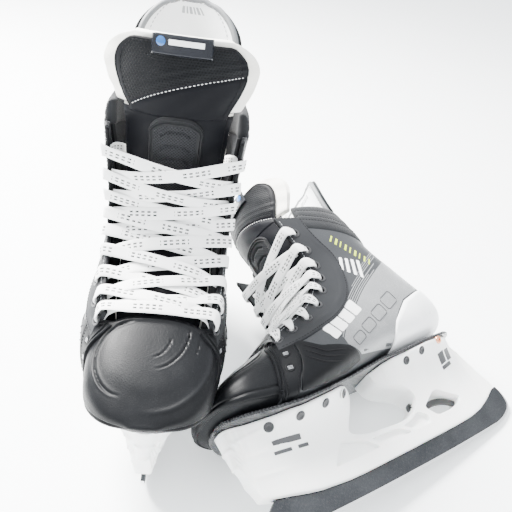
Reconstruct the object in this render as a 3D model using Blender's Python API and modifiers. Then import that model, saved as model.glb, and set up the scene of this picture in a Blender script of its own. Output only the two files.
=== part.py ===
"""A pair of ice hockey skates: the right one stands on its runner and the left one lies beside it.

One pattern skate is designed in its own frame, in millimetres: +X points to the toe, +Y to the outer
side of the foot and +Z up, with the origin under the middle of the runner, on the ice. Every piece of
the pattern becomes a mesh, and both skates are made from those meshes. The right skate is the mirror
image of the left one.
"""
import math

import bmesh
import bpy
import numpy as np
from mathutils import Euler, Matrix, Vector

MM = 0.001
GAP = 0.35                  # clearance between pieces that touch, mm

# ---- where the two skates are -------------------------------------------------------------------
LYING_PLACE = (0.2150, -0.1110, 0.0156)
LYING_TURN = (72.8, -6.0, -146.5)

# ---- boot: section lines that fan out from the throat (front) to the sole and the heel (back) ----
FRONT = [(86, 131), (70, 136), (55, 141.5), (42, 149), (31, 158), (23, 168), (18, 181), (16.5, 198),
         (18, 219), (20, 240)]
BACK = [(112, 77.4), (85, 76.6), (50, 80.6), (10, 86.5), (-40, 92.6), (-93, 95.5), (-127, 112),
        (-115, 150), (-98, 184), (-89, 209)]
WIDTH_OUTER = [46, 54, 56, 52, 49, 48, 48, 48, 50, 52]
WIDTH_INNER = [45, 50, 50, 46, 45, 46, 46, 47, 49, 51]
THROAT = [36, 39, 41, 42, 43, 44, 44, 45, 46, 47]     # half the gap between the facings
PEAK = [.62, .66, .64, .56, .42, .36, .34, .34, .36, .38]    # where along the line it is widest
CORNER = [4.5, 4.6, 4.2, 3.6, 3.0, 2.6, 2.4, 2.3, 2.2, 2.2]  # roundness towards the back
STATIONS = [0, .6, 1.3, 2.1, 3, 3.9, 4.8, 5.5, 6.2, 6.9, 7.6, 8.3, 9]
FACING_ROWS = (0, 9, 18, 26)                          # distance from the throat edge, mm
FAN_STEPS = 5                                         # rows from the widest line to the centre line
ROWS = len(FACING_ROWS) + FAN_STEPS                   # row index of the centre line
SHELL_ROW = 2                                         # the shell starts behind the eyelets
SHELL_THICK = 2.4
LINER_THICK = 3.0
FOOTBED_THICK = 2.5
FACING_THICK = 2.0
OVERLAY_THICK = 1.1
EYELETS = 9
FIRST_EYELET, TOP_EYELET = .35, 10.75                 # stations of the lowest and the highest eyelet
EYELET_R = 3.5

# ---- sole line (x, underside of the boot, half width of the outsole), toe cap, outsole -----------
SOLE = [(-118, 96, 24), (-100, 95.6, 29), (-70, 94.4, 31), (-38, 92, 30), (-12, 89.4, 29.5), (10, 86.3, 30),
        (38, 81.9, 33.5), (65, 78.2, 39), (92, 76.2, 41), (116, 77.7, 38.5), (136, 82.6, 31), (149, 88.6, 19)]
TOE_FRONT = [(86.5, 131), (100, 127), (114, 122.5), (128, 117.5), (141, 112), (151, 106.5), (157.5, 102)]
TOE_BOTTOM = [(113.4, 77.9), (121, 79.4), (130, 81.9), (139, 85.4), (147, 89.3), (153, 93), (157.5, 97)]
TOE_WIDTH = [45.5, 45.5, 44.5, 41.5, 35, 26, 12]
TOE_SIDES = 12
TOE_THICK = 3.0
OUTSOLE_THICK = 2.4
HEEL_DROP = 2.5                                       # room for the heel counter over the outsole
FOOTBED = [(-92, 15, 3.5), (-75, 20, 3.5), (-45, 22, 3.5), (-10, 24, 3), (25, 28, 2), (55, 34, 1.5),
           (85, 36, 1.5), (104, 32, 1.5)]             # x, half width, how much its sides rise

# ---- blade holder: stations along the skate ------------------------------------------------------
# x, underside z, half width of the flange, half width of the rail, how late the wall flares out
HOLDER = [(146.5, 60, 7, 4, 1), (144, 44, 11, 5, 1), (141, 30.5, 14.5, 6, 1.1), (136, 28.7, 18.5, 6.5, 1.5),
          (116, 24.2, 31, 7, 2.4), (105, 21.5, 34, 7.5, 2.8), (92, 19, 35.5, 8, 3), (65, 16.5, 34.8, 8, 3),
          (48, 16, 32, 8, 3), (38, 16, 24, 8, 3), (27, 16, 12, 8, 3), (-5, 16.1, 12, 8, 3),
          (-14, 16.2, 20, 8, 3), (-24, 16.3, 27, 8, 3), (-45, 16.5, 30, 8, 3), (-70, 16.8, 31, 8, 3),
          (-92, 17.8, 29, 8, 3), (-106, 20, 23, 7.5, 3), (-116, 23, 14, 7, 2.5)]
TAIL = [(-121, 24.5, 86, 8.5, 6.5), (-128, 27, 75, 7, 6), (-135, 30, 54, 6, 5.5), (-142, 32.5, 38, 5, 5)]
FLANGE_THICK = 2.6
ARCH = [(27, 95), (27, 75), (36, 65.5), (45, 54), (49.5, 46.5), (40, 42.5), (24, 40), (-8, 38), (-21, 39),
        (-33, 44), (-38.5, 50.5), (-35, 59.5), (-24, 66), (-11.5, 70.5), (-5, 76), (-3, 95)]
WINDOW = [(-42, 41), (-60, 50.5), (-66, 51), (-90, 38), (-86, 33), (-68, 30.5), (-52, 30.5)]
POCKETS = [[(75, 28), (60, 44), (36, 37), (25, 27.5)],
           [(19, 27.5), (30, 36.2), (-2, 35), (-14, 27.5)],
           [(-19, 27.5), (-8, 34.8), (-20, 36), (-32, 40.5), (-41, 34), (-40, 27.5)]]
RIVET_X = -92
POCKET_FLOOR = 4.4                                    # distance of a pocket's floor from the middle
PIVOT = (-37.5, 46.5)                                 # release trigger's pin
PIVOT_R = 1.5
CAVITY = [(-32, 41), (-32, 53), (-60, 60), (-96, 56), (-96, 38), (-88, 35), (-42, 35)]
CAVITY_HALF = 4.2

# ---- runner ---------------------------------------------------------------------------------------
RUNNER_HALF = 1.5
ROCKER = 3000.0                                       # radius of the running edge
FLAT_HALF = 12.0                                      # half length of the flat middle
SEAT_TOP = 8.0                                        # how far the runner reaches into the holder
SEAT = (-118, 114)                                    # the seated length
FRONT_HOOK = (139, 27)                                # the runner's hinge when it is released
HOOK = [(-76, 25), (-76, 32.4), (-63, 32.4), (-66, 25)]

# ---- tongue ---------------------------------------------------------------------------------------
TONGUE = [(91, 114), (73.5, 126), (55.5, 133), (41, 141.5), (29.5, 152), (21, 164.5), (16, 180),
          (13.5, 200), (14, 220), (14.5, 238), (14, 251)]
TONGUE_HALF = [30, 33, 35, 36, 36, 36, 36.5, 37, 38, 39, 41]
TONGUE_BOW = [5, 7, 8, 9, 10, 11, 12, 13, 14, 16, 18]  # how far the sides lie behind the middle
TOP_TONGUE = [(13.9, 254), (12.5, 268), (10.5, 281), (8.5, 291), (7, 298), (6, 303)]
TOP_HALF = [43, 50, 53.5, 51, 43, 30]
TOP_BOW = [19, 23, 24, 21, 14, 7]
COVER_INSET = 11.0                                    # felt rim that shows round the cover
FELT_THICK = 6.0
COVER_GAP = .9                                        # the cover is flatter than the felt behind it
COVER_THICK = 1.5
FOLD_PIVOT = (19.5, 252.5)                            # where the tongue top folds forward

# ---- collar and tendon guard ------------------------------------------------------------------------
COLLAR_FRONT = [(20, 242), (19, 246), (18, 249)]
COLLAR_BACK = [(-88.5, 211), (-86, 228), (-85, 243)]
COLLAR_THICK = 6.5
GUARD = [(-85.5, 245), (-86, 258), (-88, 272), (-90.5, 285), (-92.5, 295), (-94, 301.5), (-95, 305)]
GUARD_HALF = [40, 42, 43, 40, 32.5, 23, 11]
GUARD_BOW = [20, 22, 23, 20, 13, 6.5, 1.5]
GUARD_THICK = 2.2
LINING_THICK = 3.0
GUARD_PIVOT = (-88.5, 244)

# ---- lace -------------------------------------------------------------------------------------------
LACE_WIDE = 7.0
LACE_THICK = 1.3
LACE_LAYER = 1.5                                      # how far two crossing runs part from their middle
LACE_ARCH = (4.5, 5.5, 8, 9)                          # how far the lace arches over the tongue, up the throat

COLOURS = {                                           # colour, roughness, metallic
    "boot_shell": ((.075, .078, .085), .45, 0), "toe_cap": ((.02, .021, .024), .42, 0),
    "facing": ((.045, .047, .05), .6, 0), "toe_band": ((.03, .031, .034), .5, 0),
    "overlay": ((.035, .036, .04), .45, 0), "heel_counter": ((.82, .83, .84), .35, 0),
    "outsole": ((.05, .052, .058), .35, 0), "footbed": ((.06, .06, .065), .8, 0),
    "ankle_liner": ((.05, .05, .055), .9, 0), "collar_pad": ((.045, .046, .05), .7, 0),
    "lace": ((.86, .86, .84), .8, 0), "blade_holder": ((.86, .86, .84), .35, 0),
    "runner": ((.42, .43, .44), .25, 1), "release_trigger": ((.02, .02, .022), .45, 0),
    "trigger_pin": ((.6, .6, .6), .3, 1), "trigger_spring": ((.55, .55, .56), .3, 1),
    "tendon_guard": ((.04, .041, .045), .45, 0), "guard_lining": ((.72, .73, .75), .4, 0),
    "felt": ((.84, .83, .77), .95, 0), "tongue_cover": ((.02, .021, .026), .6, 0),
    "tongue_lace_pad": ((.018, .018, .02), .7, 0), "tongue_tab": ((.01, .011, .014), .25, 0),
    "heel_rivet": ((.8, .42, .26), .3, 1),
}


# ---- general helpers --------------------------------------------------------------------------------
def clear_scene():
    for obj in list(bpy.data.objects):
        bpy.data.objects.remove(obj)


def new_collection(name):
    collection = bpy.data.collections.new(name)
    bpy.context.scene.collection.children.link(collection)
    return collection


def curve_at(points, u):
    """A smooth (Catmull-Rom) curve through the points, at the parameter u = 0, 1, 2 ..."""
    pts = np.array(points, float)
    if pts.ndim == 1:
        pts = pts[:, None]
    padded = np.vstack([2 * pts[0] - pts[1], pts, 2 * pts[-1] - pts[-2]])
    i = min(int(u), len(pts) - 2)
    t = u - i
    a, b, c, d = padded[i:i + 4]
    value = b + .5 * t * (c - a + t * (2 * a - 5 * b + 4 * c - d + t * (3 * (b - c) + d - a)))
    return value if len(value) > 1 else float(value[0])


def unit(vector):
    return vector / np.linalg.norm(vector)


def mesh_object(name, verts, faces, collection):
    mesh = bpy.data.meshes.new(name)
    mesh.from_pydata([tuple(float(c) * MM for c in v) for v in verts], [], faces)
    obj = bpy.data.objects.new(name, mesh)
    collection.objects.link(obj)
    return obj


def grid_faces(rows, cols, ring=False):
    """Quads of a grid of points; a ring joins its last column to its first."""
    faces = []
    for i in range(rows - 1):
        for j in range(cols if ring else cols - 1):
            k = (j + 1) % cols
            faces.append((i * cols + j, i * cols + k, (i + 1) * cols + k, (i + 1) * cols + j))
    return faces


def grid_object(name, grid, collection, ring=False):
    rows, cols = grid.shape[:2]
    return mesh_object(name, grid.reshape(-1, 3), grid_faces(rows, cols, ring), collection)


def offset_grid(grid, distance):
    """Moves a grid of points along its normals so that each of its facets moves by the distance."""
    edge_u = grid[1:, :-1] - grid[:-1, 1:]
    edge_v = grid[1:, 1:] - grid[:-1, :-1]
    normals = np.cross(edge_v, edge_u)
    normals /= np.linalg.norm(normals, axis=2)[..., None]
    rows, cols = grid.shape[:2]
    moved = grid.copy()
    for i in range(rows):
        for j in range(cols):
            near = normals[max(i - 1, 0):i + 1, max(j - 1, 0):j + 1].reshape(-1, 3)
            step = np.linalg.lstsq(near, np.ones(len(near)), rcond=.2)[0]
            moved[i, j] += step * distance
    return moved


def part_of_grid(grid, i0, i1, j0, j1):
    """The piece of a grid between fractional row and column positions, kept on the same facets."""
    def lines(low, high):
        whole = [k for k in range(math.ceil(low + .02), math.floor(high - .02) + 1)]
        return [low] + whole + [high]

    def mix(array, position):
        k = min(int(position), len(array) - 2)
        return array[k] * (1 - position + k) + array[k + 1] * (position - k)

    rows = np.array([mix(grid, p) for p in lines(i0, i1)])
    return np.array([[mix(row, p) for p in lines(j0, j1)] for row in rows])


def thicken(obj, thickness, outward):
    solid = obj.modifiers.new("wall", "SOLIDIFY")
    solid.thickness = thickness * MM
    solid.offset = 1 if outward else -1
    solid.use_even_offset = True
    return obj


def outline_object(name, points, half, collection, middle=0.0):
    """A flat outline in the XZ plane, extruded along Y to half its thickness each way."""
    curve = bpy.data.curves.new(name, "CURVE")
    curve.dimensions = "2D"
    curve.fill_mode = "BOTH"
    curve.extrude = half * MM
    spline = curve.splines.new("POLY")
    spline.points.add(len(points) - 1)
    for point, (x, z) in zip(spline.points, points):
        point.co = (x * MM, z * MM, 0, 1)
    spline.use_cyclic_u = True
    obj = bpy.data.objects.new(name, curve)
    obj.rotation_euler = (math.pi / 2, 0, 0)
    obj.location = (0, middle * MM, 0)
    collection.objects.link(obj)
    return as_mesh_object(obj, collection)


def as_mesh_object(obj, collection):
    """Turns a curve object into a welded mesh object in the same place."""
    name = obj.name
    mesh = evaluated_mesh(obj)
    bm = bmesh.new()
    bm.from_mesh(mesh)
    bmesh.ops.remove_doubles(bm, verts=bm.verts, dist=.00001)
    bmesh.ops.recalc_face_normals(bm, faces=bm.faces)
    bm.to_mesh(mesh)
    bm.free()
    bpy.data.objects.remove(obj)
    result = bpy.data.objects.new(name, mesh)
    collection.objects.link(result)
    return result


def evaluated_mesh(obj):
    """The object's mesh with its modifiers, in the pattern's frame."""
    bpy.context.view_layer.update()
    graph = bpy.context.evaluated_depsgraph_get()
    mesh = bpy.data.meshes.new_from_object(obj.evaluated_get(graph))
    mesh.transform(obj.matrix_world)
    return mesh


def cylinder_object(name, radius, low, high, collection, sides=8):
    """A cylinder between two points, in millimetres."""
    low, high = Vector(low), Vector(high)
    bm = bmesh.new()
    bmesh.ops.create_cone(bm, cap_ends=True, segments=sides, radius1=radius * MM, radius2=radius * MM,
                          depth=(high - low).length * MM)
    mesh = bpy.data.meshes.new(name)
    bm.to_mesh(mesh)
    bm.free()
    obj = bpy.data.objects.new(name, mesh)
    obj.matrix_world = (Matrix.Translation((low + high) / 2 * MM)
                        @ (high - low).to_track_quat("Z", "Y").to_matrix().to_4x4())
    collection.objects.link(obj)
    return obj


def cut(obj, cutter):
    cutter.hide_render = True
    cutter.display_type = "WIRE"
    boolean = obj.modifiers.new("cut", "BOOLEAN")
    boolean.operation = "DIFFERENCE"
    boolean.solver = "EXACT"
    boolean.object = cutter


def smooth(mesh):
    mesh.shade_smooth()
    mesh.set_sharp_from_angle(angle=math.radians(35))


# ---- boot surface -----------------------------------------------------------------------------------
def section(v, front, back, outer, inner, throat, peak, corner):
    """One section of the boot from the outer throat edge, under or behind the foot, to the inner one."""
    length = np.linalg.norm(back - front)
    rows = [(d / length, None) for d in FACING_ROWS]
    rows += [(None, math.pi / 2 * k / FAN_STEPS) for k in range(FAN_STEPS + 1)]

    def point(row, width, side):
        along, angle = row
        if angle is None:
            y = throat + (width - throat) * math.sin(math.pi / 2 * along / peak)
        else:
            c, s = math.cos(angle), math.sin(angle)
            reach = (c ** corner + s ** corner) ** (-1 / corner)
            along, y = peak + (1 - peak) * s * reach, width * c * reach
        x, z = front + (back - front) * along
        return (x, side * y, z)

    outer_side = [point(row, outer, 1) for row in rows]
    inner_side = [point(row, inner, -1) for row in rows[:-1]]
    return outer_side + inner_side[::-1]


def boot_grid():
    def at(v):
        values = [curve_at(table, v) for table in (WIDTH_OUTER, WIDTH_INNER, THROAT, PEAK, CORNER)]
        return section(v, curve_at(FRONT, v), curve_at(BACK, v), *values)
    return np.array([at(v) for v in STATIONS])


BOOT = boot_grid()
CENTRE = BOOT.shape[1] // 2                           # column of the sole's or heel's centre line
LAST = BOOT.shape[0] - 1


def shell_layer(name, inset, thickness, rows, columns, collection, outward=True):
    """A layer over (or under) the shell, cut out of the boot's own surface."""
    area = part_of_grid(offset_grid(BOOT, inset), rows[0], rows[1], columns[0], columns[1])
    return thicken(grid_object(name, area, collection), thickness, outward)


def both_sides(columns, inner):
    low, high = columns
    return (2 * CENTRE - high, 2 * CENTRE - low) if inner else columns


def boot_shell(name, work):
    return shell_layer(name, 0, SHELL_THICK, (0, LAST), (SHELL_ROW, 2 * CENTRE - SHELL_ROW), work, False)


def ankle_liner(name, work):
    columns = (SHELL_ROW + 1, 2 * CENTRE - SHELL_ROW - 1)
    return shell_layer(name, -SHELL_THICK - GAP, LINER_THICK, (3, LAST), columns, work, False)


def eyelet_row(k):
    """Where along the stations an eyelet is, counted from the toe."""
    return FIRST_EYELET + (TOP_EYELET - FIRST_EYELET) * k / (EYELETS - 1)


def eyelet_place(k, inner):
    """Centre and outward normal of an eyelet on the facing's outer face."""
    v = eyelet_row(k)
    surface = offset_grid(BOOT, GAP + FACING_THICK)
    column = 2 * CENTRE - 1 if inner else 1
    area = surface[:, column - 1:column + 2]
    i = min(int(v), LAST - 1)
    centre = area[i, 1] * (1 - v + i) + area[i + 1, 1] * (v - i)
    normal = unit(np.cross(area[i + 1, 2] - area[i, 0], area[i, 2] - area[i + 1, 0]))
    if (normal[1] > 0) == inner:
        normal = -normal
    return centre, normal


def facing(name, work, inner):
    obj = shell_layer(name, GAP, FACING_THICK, (0, LAST), both_sides((0, 3), inner), work)
    for k in range(EYELETS):
        centre, normal = eyelet_place(k, inner)
        cut(obj, cylinder_object("eyelet_cutter", EYELET_R, centre - 6 * normal, centre + 4 * normal, work, 6))
    return obj


def toe_band(name, work, inner):
    return shell_layer(name, GAP, OVERLAY_THICK, (.08, 2), both_sides((3.06, CENTRE - 2.7), inner), work)


def overlay(name, work, inner):
    return shell_layer(name, GAP + .1, OVERLAY_THICK, (2.06, 4), both_sides((4.4, CENTRE - 2.7), inner), work)


def heel_counter(name, work):
    return shell_layer(name, GAP, OVERLAY_THICK, (5, 8.6), (CENTRE - 3, CENTRE + 3), work)


def collar_pad(name, work):
    """Padded collar: the boot's surface carried on above the shell, from side to side round the back."""
    sections = []
    for front, back in zip(COLLAR_FRONT, COLLAR_BACK):
        values = (WIDTH_OUTER[-1] - 1, WIDTH_INNER[-1] - 1, THROAT[-1], PEAK[-1], CORNER[-1])
        sections.append(section(9, np.array(front, float), np.array(back, float), *values))
    area = part_of_grid(np.array(sections), 0, 2, 3.2, 2 * CENTRE - 3.2)
    return thicken(grid_object(name, area, work), COLLAR_THICK, False)


def toe_cap(name, work):
    """Domed cap: rings from its rear edge to the toe, each rounder above than below, and a closed tip."""
    rings = []
    for front, bottom, width in zip(TOE_FRONT, TOE_BOTTOM, TOE_WIDTH):
        top, low = np.array(front, float), np.array(bottom, float)
        ring = []
        for k in range(TOE_SIDES):
            angle = 2 * math.pi * k / TOE_SIDES
            c, s = math.cos(angle), math.sin(angle)
            power = 2.5 if c > 0 else 3.6
            reach = (abs(c) ** power + abs(s) ** power) ** (-1 / power)
            x, z = top + (low - top) * (.55 - (.55 if c > 0 else .45) * c * reach)
            ring.append((x, -width * s * reach, z))
        rings.append(ring)
    grid = np.array(rings)
    verts = [tuple(p) for p in grid.reshape(-1, 3)] + [tuple(grid[-1].mean(axis=0) + (2.2, 0, 0))]
    faces = grid_faces(len(rings), TOE_SIDES, ring=True)
    first = (len(rings) - 1) * TOE_SIDES
    faces += [(first + k, first + (k + 1) % TOE_SIDES, len(verts) - 1) for k in range(TOE_SIDES)]
    return thicken(mesh_object(name, verts, faces, work), TOE_THICK, False)


# ---- sole -------------------------------------------------------------------------------------------
def sole_z(x):
    return float(np.interp(x, [s[0] for s in SOLE], [s[1] for s in SOLE]))


def outsole_top(x):
    """Height of the outsole's top: lower under the heel, where the heel counter comes between."""
    return sole_z(x) - GAP - HEEL_DROP * float(np.interp(x, [SOLE[3][0], SOLE[4][0]], [1, 0]))


def flange_top(x):
    return outsole_top(x) - OUTSOLE_THICK - GAP - .15


def outsole(name, work):
    rows = [[(x, half * side, outsole_top(x)) for side in (1, .4, -.4, -1)] for x, _, half in SOLE]
    return thicken(grid_object(name, np.array(rows), work), OUTSOLE_THICK, False)


def footbed(name, work):
    lift = SHELL_THICK + LINER_THICK + FOOTBED_THICK + 3 * GAP + .6
    rows = [[(x, half * side, sole_z(x) + lift + rise * side ** 2) for side in (1, .4, -.4, -1)]
            for x, half, rise in FOOTBED]
    return thicken(grid_object(name, np.array(rows), work), FOOTBED_THICK, False)


# ---- blade holder and runner --------------------------------------------------------------------------
def rail_z(x):
    """Underside of the holder at x."""
    table = sorted([(s[0], s[1]) for s in HOLDER[2:]] + [(s[0], s[1]) for s in TAIL])
    return float(np.interp(x, [t[0] for t in table], [t[1] for t in table]))


def holder_section(x, low, top, flange, rail, late):
    """Half outline of the holder at x, from the flange's top edge down to the rail, and its mirror."""
    under = top - FLANGE_THICK
    side = [(flange, top), (flange, under)]
    for share in (.75, .5, .25):
        side.append((rail + (flange - rail) * share ** late, low + (under - low) * share))
    side += [(rail, low + (under - low) * .1), (rail * .75, low)]
    return [(x, y, z) for y, z in side] + [(x, -y, z) for y, z in side[::-1]]


def blade_holder(name, work):
    sections = []
    for x, low, flange, rail, late in HOLDER:
        sections.append(holder_section(x, low, flange_top(x), flange, rail, late))
    sections += [holder_section(x, low, top, flange, rail, 2) for x, low, top, flange, rail in TAIL]
    grid = np.array(sections)
    rows, cols = grid.shape[:2]
    faces = grid_faces(rows, cols, ring=True)
    faces += [tuple(range(cols))[::-1], tuple(range((rows - 1) * cols, rows * cols))]
    obj = mesh_object(name, grid.reshape(-1, 3), faces, work)
    face_out(obj)
    cut(obj, outline_object("arch_cutter", ARCH, 60, work))
    cut(obj, outline_object("window_cutter", WINDOW, 60, work))
    for pocket in POCKETS:
        for side in (1, -1):
            middle = side * (POCKET_FLOOR + 20)
            cut(obj, outline_object("pocket_cutter", pocket, 20, work, middle))
    slot = runner_outline(GAP)
    cut(obj, outline_object("slot_cutter", slot, RUNNER_HALF + GAP, work))
    cut(obj, outline_object("trigger_cavity_cutter", CAVITY, CAVITY_HALF, work))
    pin = cylinder_object("pin_cutter", PIVOT_R + GAP, (PIVOT[0], -30, PIVOT[1]), (PIVOT[0], 30, PIVOT[1]), work)
    cut(obj, pin)
    return obj


def face_out(obj):
    bm = bmesh.new()
    bm.from_mesh(obj.data)
    bmesh.ops.recalc_face_normals(bm, faces=bm.faces)
    bm.to_mesh(obj.data)
    bm.free()


def edge_z(x):
    """Height of the running edge over the ice."""
    return max(abs(x) - FLAT_HALF, 0) ** 2 / (2 * ROCKER)


def runner_outline(grow=0.0):
    """Side outline of the runner; grow widens the part inside the holder, for the slot's cutter."""
    bottom = [(x, edge_z(x)) for x in (-124, -100, -75, -45, -FLAT_HALF, FLAT_HALF, 45, 75, 100, 116)]
    front = [(126, 4), (133, 8.2), (137.5, 14), (139.5, 21)]
    rear = [(-149.5, 33), (-152, 19), (-148, 11.5), (-138, 6)]
    low, high = SEAT
    step = high + 6 + grow
    top = [(139.5, rail_z(139) - GAP), (step, rail_z(step) - GAP)]
    top += [(x, rail_z(x) + SEAT_TOP + grow) for x in (high + grow, 85, 30)]
    top += [(-55, rail_z(-55) + SEAT_TOP + grow)]
    top += [(HOOK[2][0] + grow, HOOK[2][1] + grow), (HOOK[1][0] - grow, HOOK[1][1] + grow)]
    top += [(x, rail_z(x) + SEAT_TOP + grow) for x in (-80 - grow, low - grow)]
    top += [(low - 6 - grow, rail_z(low - 6) - GAP), (-143, rail_z(-143) - GAP)]
    if grow:
        bottom, front, rear = [(-152, 10), (139.5, 10)], [], [(-149.5, 33)]
    return bottom + front + top + rear


def runner(name, work):
    return outline_object(name, runner_outline(), RUNNER_HALF, work)


def release_trigger(name, work):
    """Curved lever: an eye round the pin and an arm that arcs back through the window."""
    centre, radius, half = (-62, 2), 41.5, 2.4
    angles = [math.radians(a) for a in range(64, 133, 10)]
    outer = [(centre[0] + (radius + half) * math.cos(a), centre[1] + (radius + half) * math.sin(a)) for a in angles]
    inner = [(centre[0] + (radius - half) * math.cos(a), centre[1] + (radius - half) * math.sin(a)) for a in angles]
    eye = [(PIVOT[0] + 4.2 * math.cos(a), PIVOT[1] + 4.2 * math.sin(a))
           for a in [math.radians(b) for b in (225, 270, 315, 0, 45, 90, 135)]]
    obj = outline_object(name, eye + outer + inner[::-1], 1.9, work, -1.2)
    bore = cylinder_object("eye_cutter", PIVOT_R + GAP, (PIVOT[0], -9, PIVOT[1]), (PIVOT[0], 9, PIVOT[1]), work)
    cut(obj, bore)
    return obj


def trigger_pin(name, work):
    return cylinder_object(name, PIVOT_R, (PIVOT[0], -9.2, PIVOT[1]), (PIVOT[0], 9.2, PIVOT[1]), work)


def trigger_spring(name, work):
    """Torsion spring round the pin, beside the trigger."""
    turns, steps, coil_r, wire_r = 2, 8, 2.75, .35
    curve = bpy.data.curves.new(name, "CURVE")
    curve.dimensions = "3D"
    curve.bevel_depth = wire_r * MM
    curve.bevel_resolution = 0
    curve.use_fill_caps = True
    spline = curve.splines.new("POLY")
    count = turns * steps + 1
    spline.points.add(count - 1)
    for k, point in enumerate(spline.points):
        a = 2 * math.pi * k / steps
        y = 1.6 + 1.7 * k / (count - 1)
        point.co = ((PIVOT[0] + coil_r * math.cos(a)) * MM, y * MM, (PIVOT[1] + coil_r * math.sin(a)) * MM, 1)
    obj = bpy.data.objects.new(name, curve)
    work.objects.link(obj)
    return as_mesh_object(obj, work)


def heel_rivet(name, work, inner):
    """Head of the rear flange's last rivet, square on the flared wall just under the rim."""
    x, low, flange, rail, late = next(s for s in HOLDER if s[0] == RIVET_X)
    under = flange_top(x) - FLANGE_THICK
    rim = np.array((flange, under))
    below = np.array((rail + (flange - rail) * .75 ** late, low + (under - low) * .75))
    out = unit(np.array((rim[1] - below[1], below[0] - rim[0])))
    seat = rim * .6 + below * .4 + out * GAP
    side = -1 if inner else 1
    ends = [(x, side * y, z) for y, z in (seat, seat + out * 1.6)]
    return cylinder_object(name, 3.6, ends[0], ends[1], work, 10)


# ---- tongue -----------------------------------------------------------------------------------------
def sheet_grid(line, halves, bows, across=4, inset=0.0, forward=1):
    """Grid of a sheet that runs along a centre line in the XZ plane and bows back towards its sides."""
    rows = []
    for k, (half, bow) in enumerate(zip(halves, bows)):
        x, z = line[k]
        ahead = np.array(line[min(k + 1, len(line) - 1)], float) - np.array(line[max(k - 1, 0)], float)
        back = unit(np.array([-ahead[1], ahead[0]])) * forward
        row = []
        for j in range(across + 1):
            w = 2 * j / across - 1
            reach = max(half - inset, 4) * w
            push = back * bow * (reach / half) ** 2
            row.append((x + push[0], reach, z + push[1]))
        rows.append(row)
    return np.array(rows)


def lower_tongue(inset):
    return sheet_grid(TONGUE, TONGUE_HALF, TONGUE_BOW, inset=inset)


def upper_tongue(inset, rows=len(TOP_TONGUE)):
    return sheet_grid(TOP_TONGUE[:rows], TOP_HALF[:rows], TOP_BOW[:rows], inset=inset)


def tongue_felt(name, work):
    return thicken(grid_object(name, lower_tongue(0), work), FELT_THICK, False)


def tongue_cover(name, work):
    return thicken(grid_object(name, offset_grid(lower_tongue(3), COVER_GAP), work), COVER_THICK, True)


def tongue_lace_pad(name, work):
    grid = part_of_grid(offset_grid(lower_tongue(3), COVER_GAP + GAP + COVER_THICK), 6, 9.7, 1.3, 2.7)
    return thicken(grid_object(name, grid, work), 2, True)


def tongue_top_felt(name, work):
    return thicken(grid_object(name, upper_tongue(0), work), FELT_THICK, False)


def tongue_top_cover(name, work):
    return thicken(grid_object(name, offset_grid(upper_tongue(COVER_INSET, 4), COVER_GAP), work), COVER_THICK, True)


def tongue_tab(name, work):
    grid = part_of_grid(offset_grid(upper_tongue(COVER_INSET), COVER_GAP + GAP + COVER_THICK), 2.5, 4.6, 1.1, 2.9)
    return thicken(grid_object(name, grid, work), 1.2, True)


# ---- tendon guard -----------------------------------------------------------------------------------
def tendon_guard(name, work):
    grid = sheet_grid(GUARD, GUARD_HALF, GUARD_BOW, forward=-1)
    return thicken(grid_object(name, grid[:, ::-1], work), GUARD_THICK, False)


def guard_lining(name, work):
    grid = offset_grid(sheet_grid(GUARD, GUARD_HALF, GUARD_BOW, forward=-1)[:, ::-1], -GUARD_THICK - GAP - .1)
    return thicken(grid_object(name, part_of_grid(grid, .4, 5.6, .3, 3.7), work), LINING_THICK, False)


# ---- lace -------------------------------------------------------------------------------------------
def eyelet_frame(k, inner):
    """An eyelet's centre and normal, the direction to the throat edge, and the distance to that edge."""
    centre, normal = eyelet_place(k, inner)
    v = eyelet_row(k)
    i = min(int(v), LAST - 1)
    column = 2 * CENTRE if inner else 0
    surface = offset_grid(BOOT, GAP + FACING_THICK)[:, column]
    to_edge = surface[i] * (1 - v + i) + surface[i + 1] * (v - i) - centre
    to_edge -= normal * to_edge.dot(normal)
    return centre, normal, unit(to_edge), np.linalg.norm(to_edge)


def into_eyelet(k, inner):
    """Lace stations from outside a throat edge, in through the eyelet, and back out under the edge."""
    centre, normal, out, reach = eyelet_frame(k, inner)
    wide = np.cross(normal, out)
    if wide[2] < 0:
        wide = -wide
    stations = [(reach + 1.5, 1.75, LACE_WIDE, LACE_THICK), (3.4, 1.35, 6, 1.3), (.5, .9, 4.2, 1.6),
                (0, -1.4, 3.9, 1.8), (.8, -3.6, 4.4, 1.6), (reach + 1, -4.6, LACE_WIDE, LACE_THICK)]
    return [(centre + out * a + normal * b, wide, w, t) for a, b, w, t in stations]


def across(k, inner, layer):
    """Lace stations over the tongue, from the side given to the other side, one eyelet further up."""
    start, end = eyelet_row(k), eyelet_row(k + 1)
    stations = []
    for w in (-.45, 0, .45):
        v = start + (end - start) * (w + 1) / 2
        stations.append(over_tongue(v, w * (1 if inner else -1), layer * LACE_LAYER * (1 - abs(w))))
    return stations


def over_tongue(v, w, layer):
    """A lace station on the arch over the tongue at section v; w runs from the inner side to the outer."""
    v_pattern = float(np.interp(v, range(len(STATIONS)), STATIONS))
    behind, here, ahead = (np.array(curve_at(FRONT, min(v_pattern + d, 9))) for d in (-.3, 0, .3))
    up = unit(ahead - here if v_pattern <= 8.6 else here - behind)
    out = np.array((up[1], -up[0]))
    arch = float(np.interp(v_pattern, (0, 2, 6, 9), LACE_ARCH))
    x, z = here + out * (arch * (1 - w * w) + layer)
    throat = curve_at(THROAT, v_pattern)
    return (np.array((x, throat * w, z)), np.array((up[0], 0, up[1])), LACE_WIDE, LACE_THICK)


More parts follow.
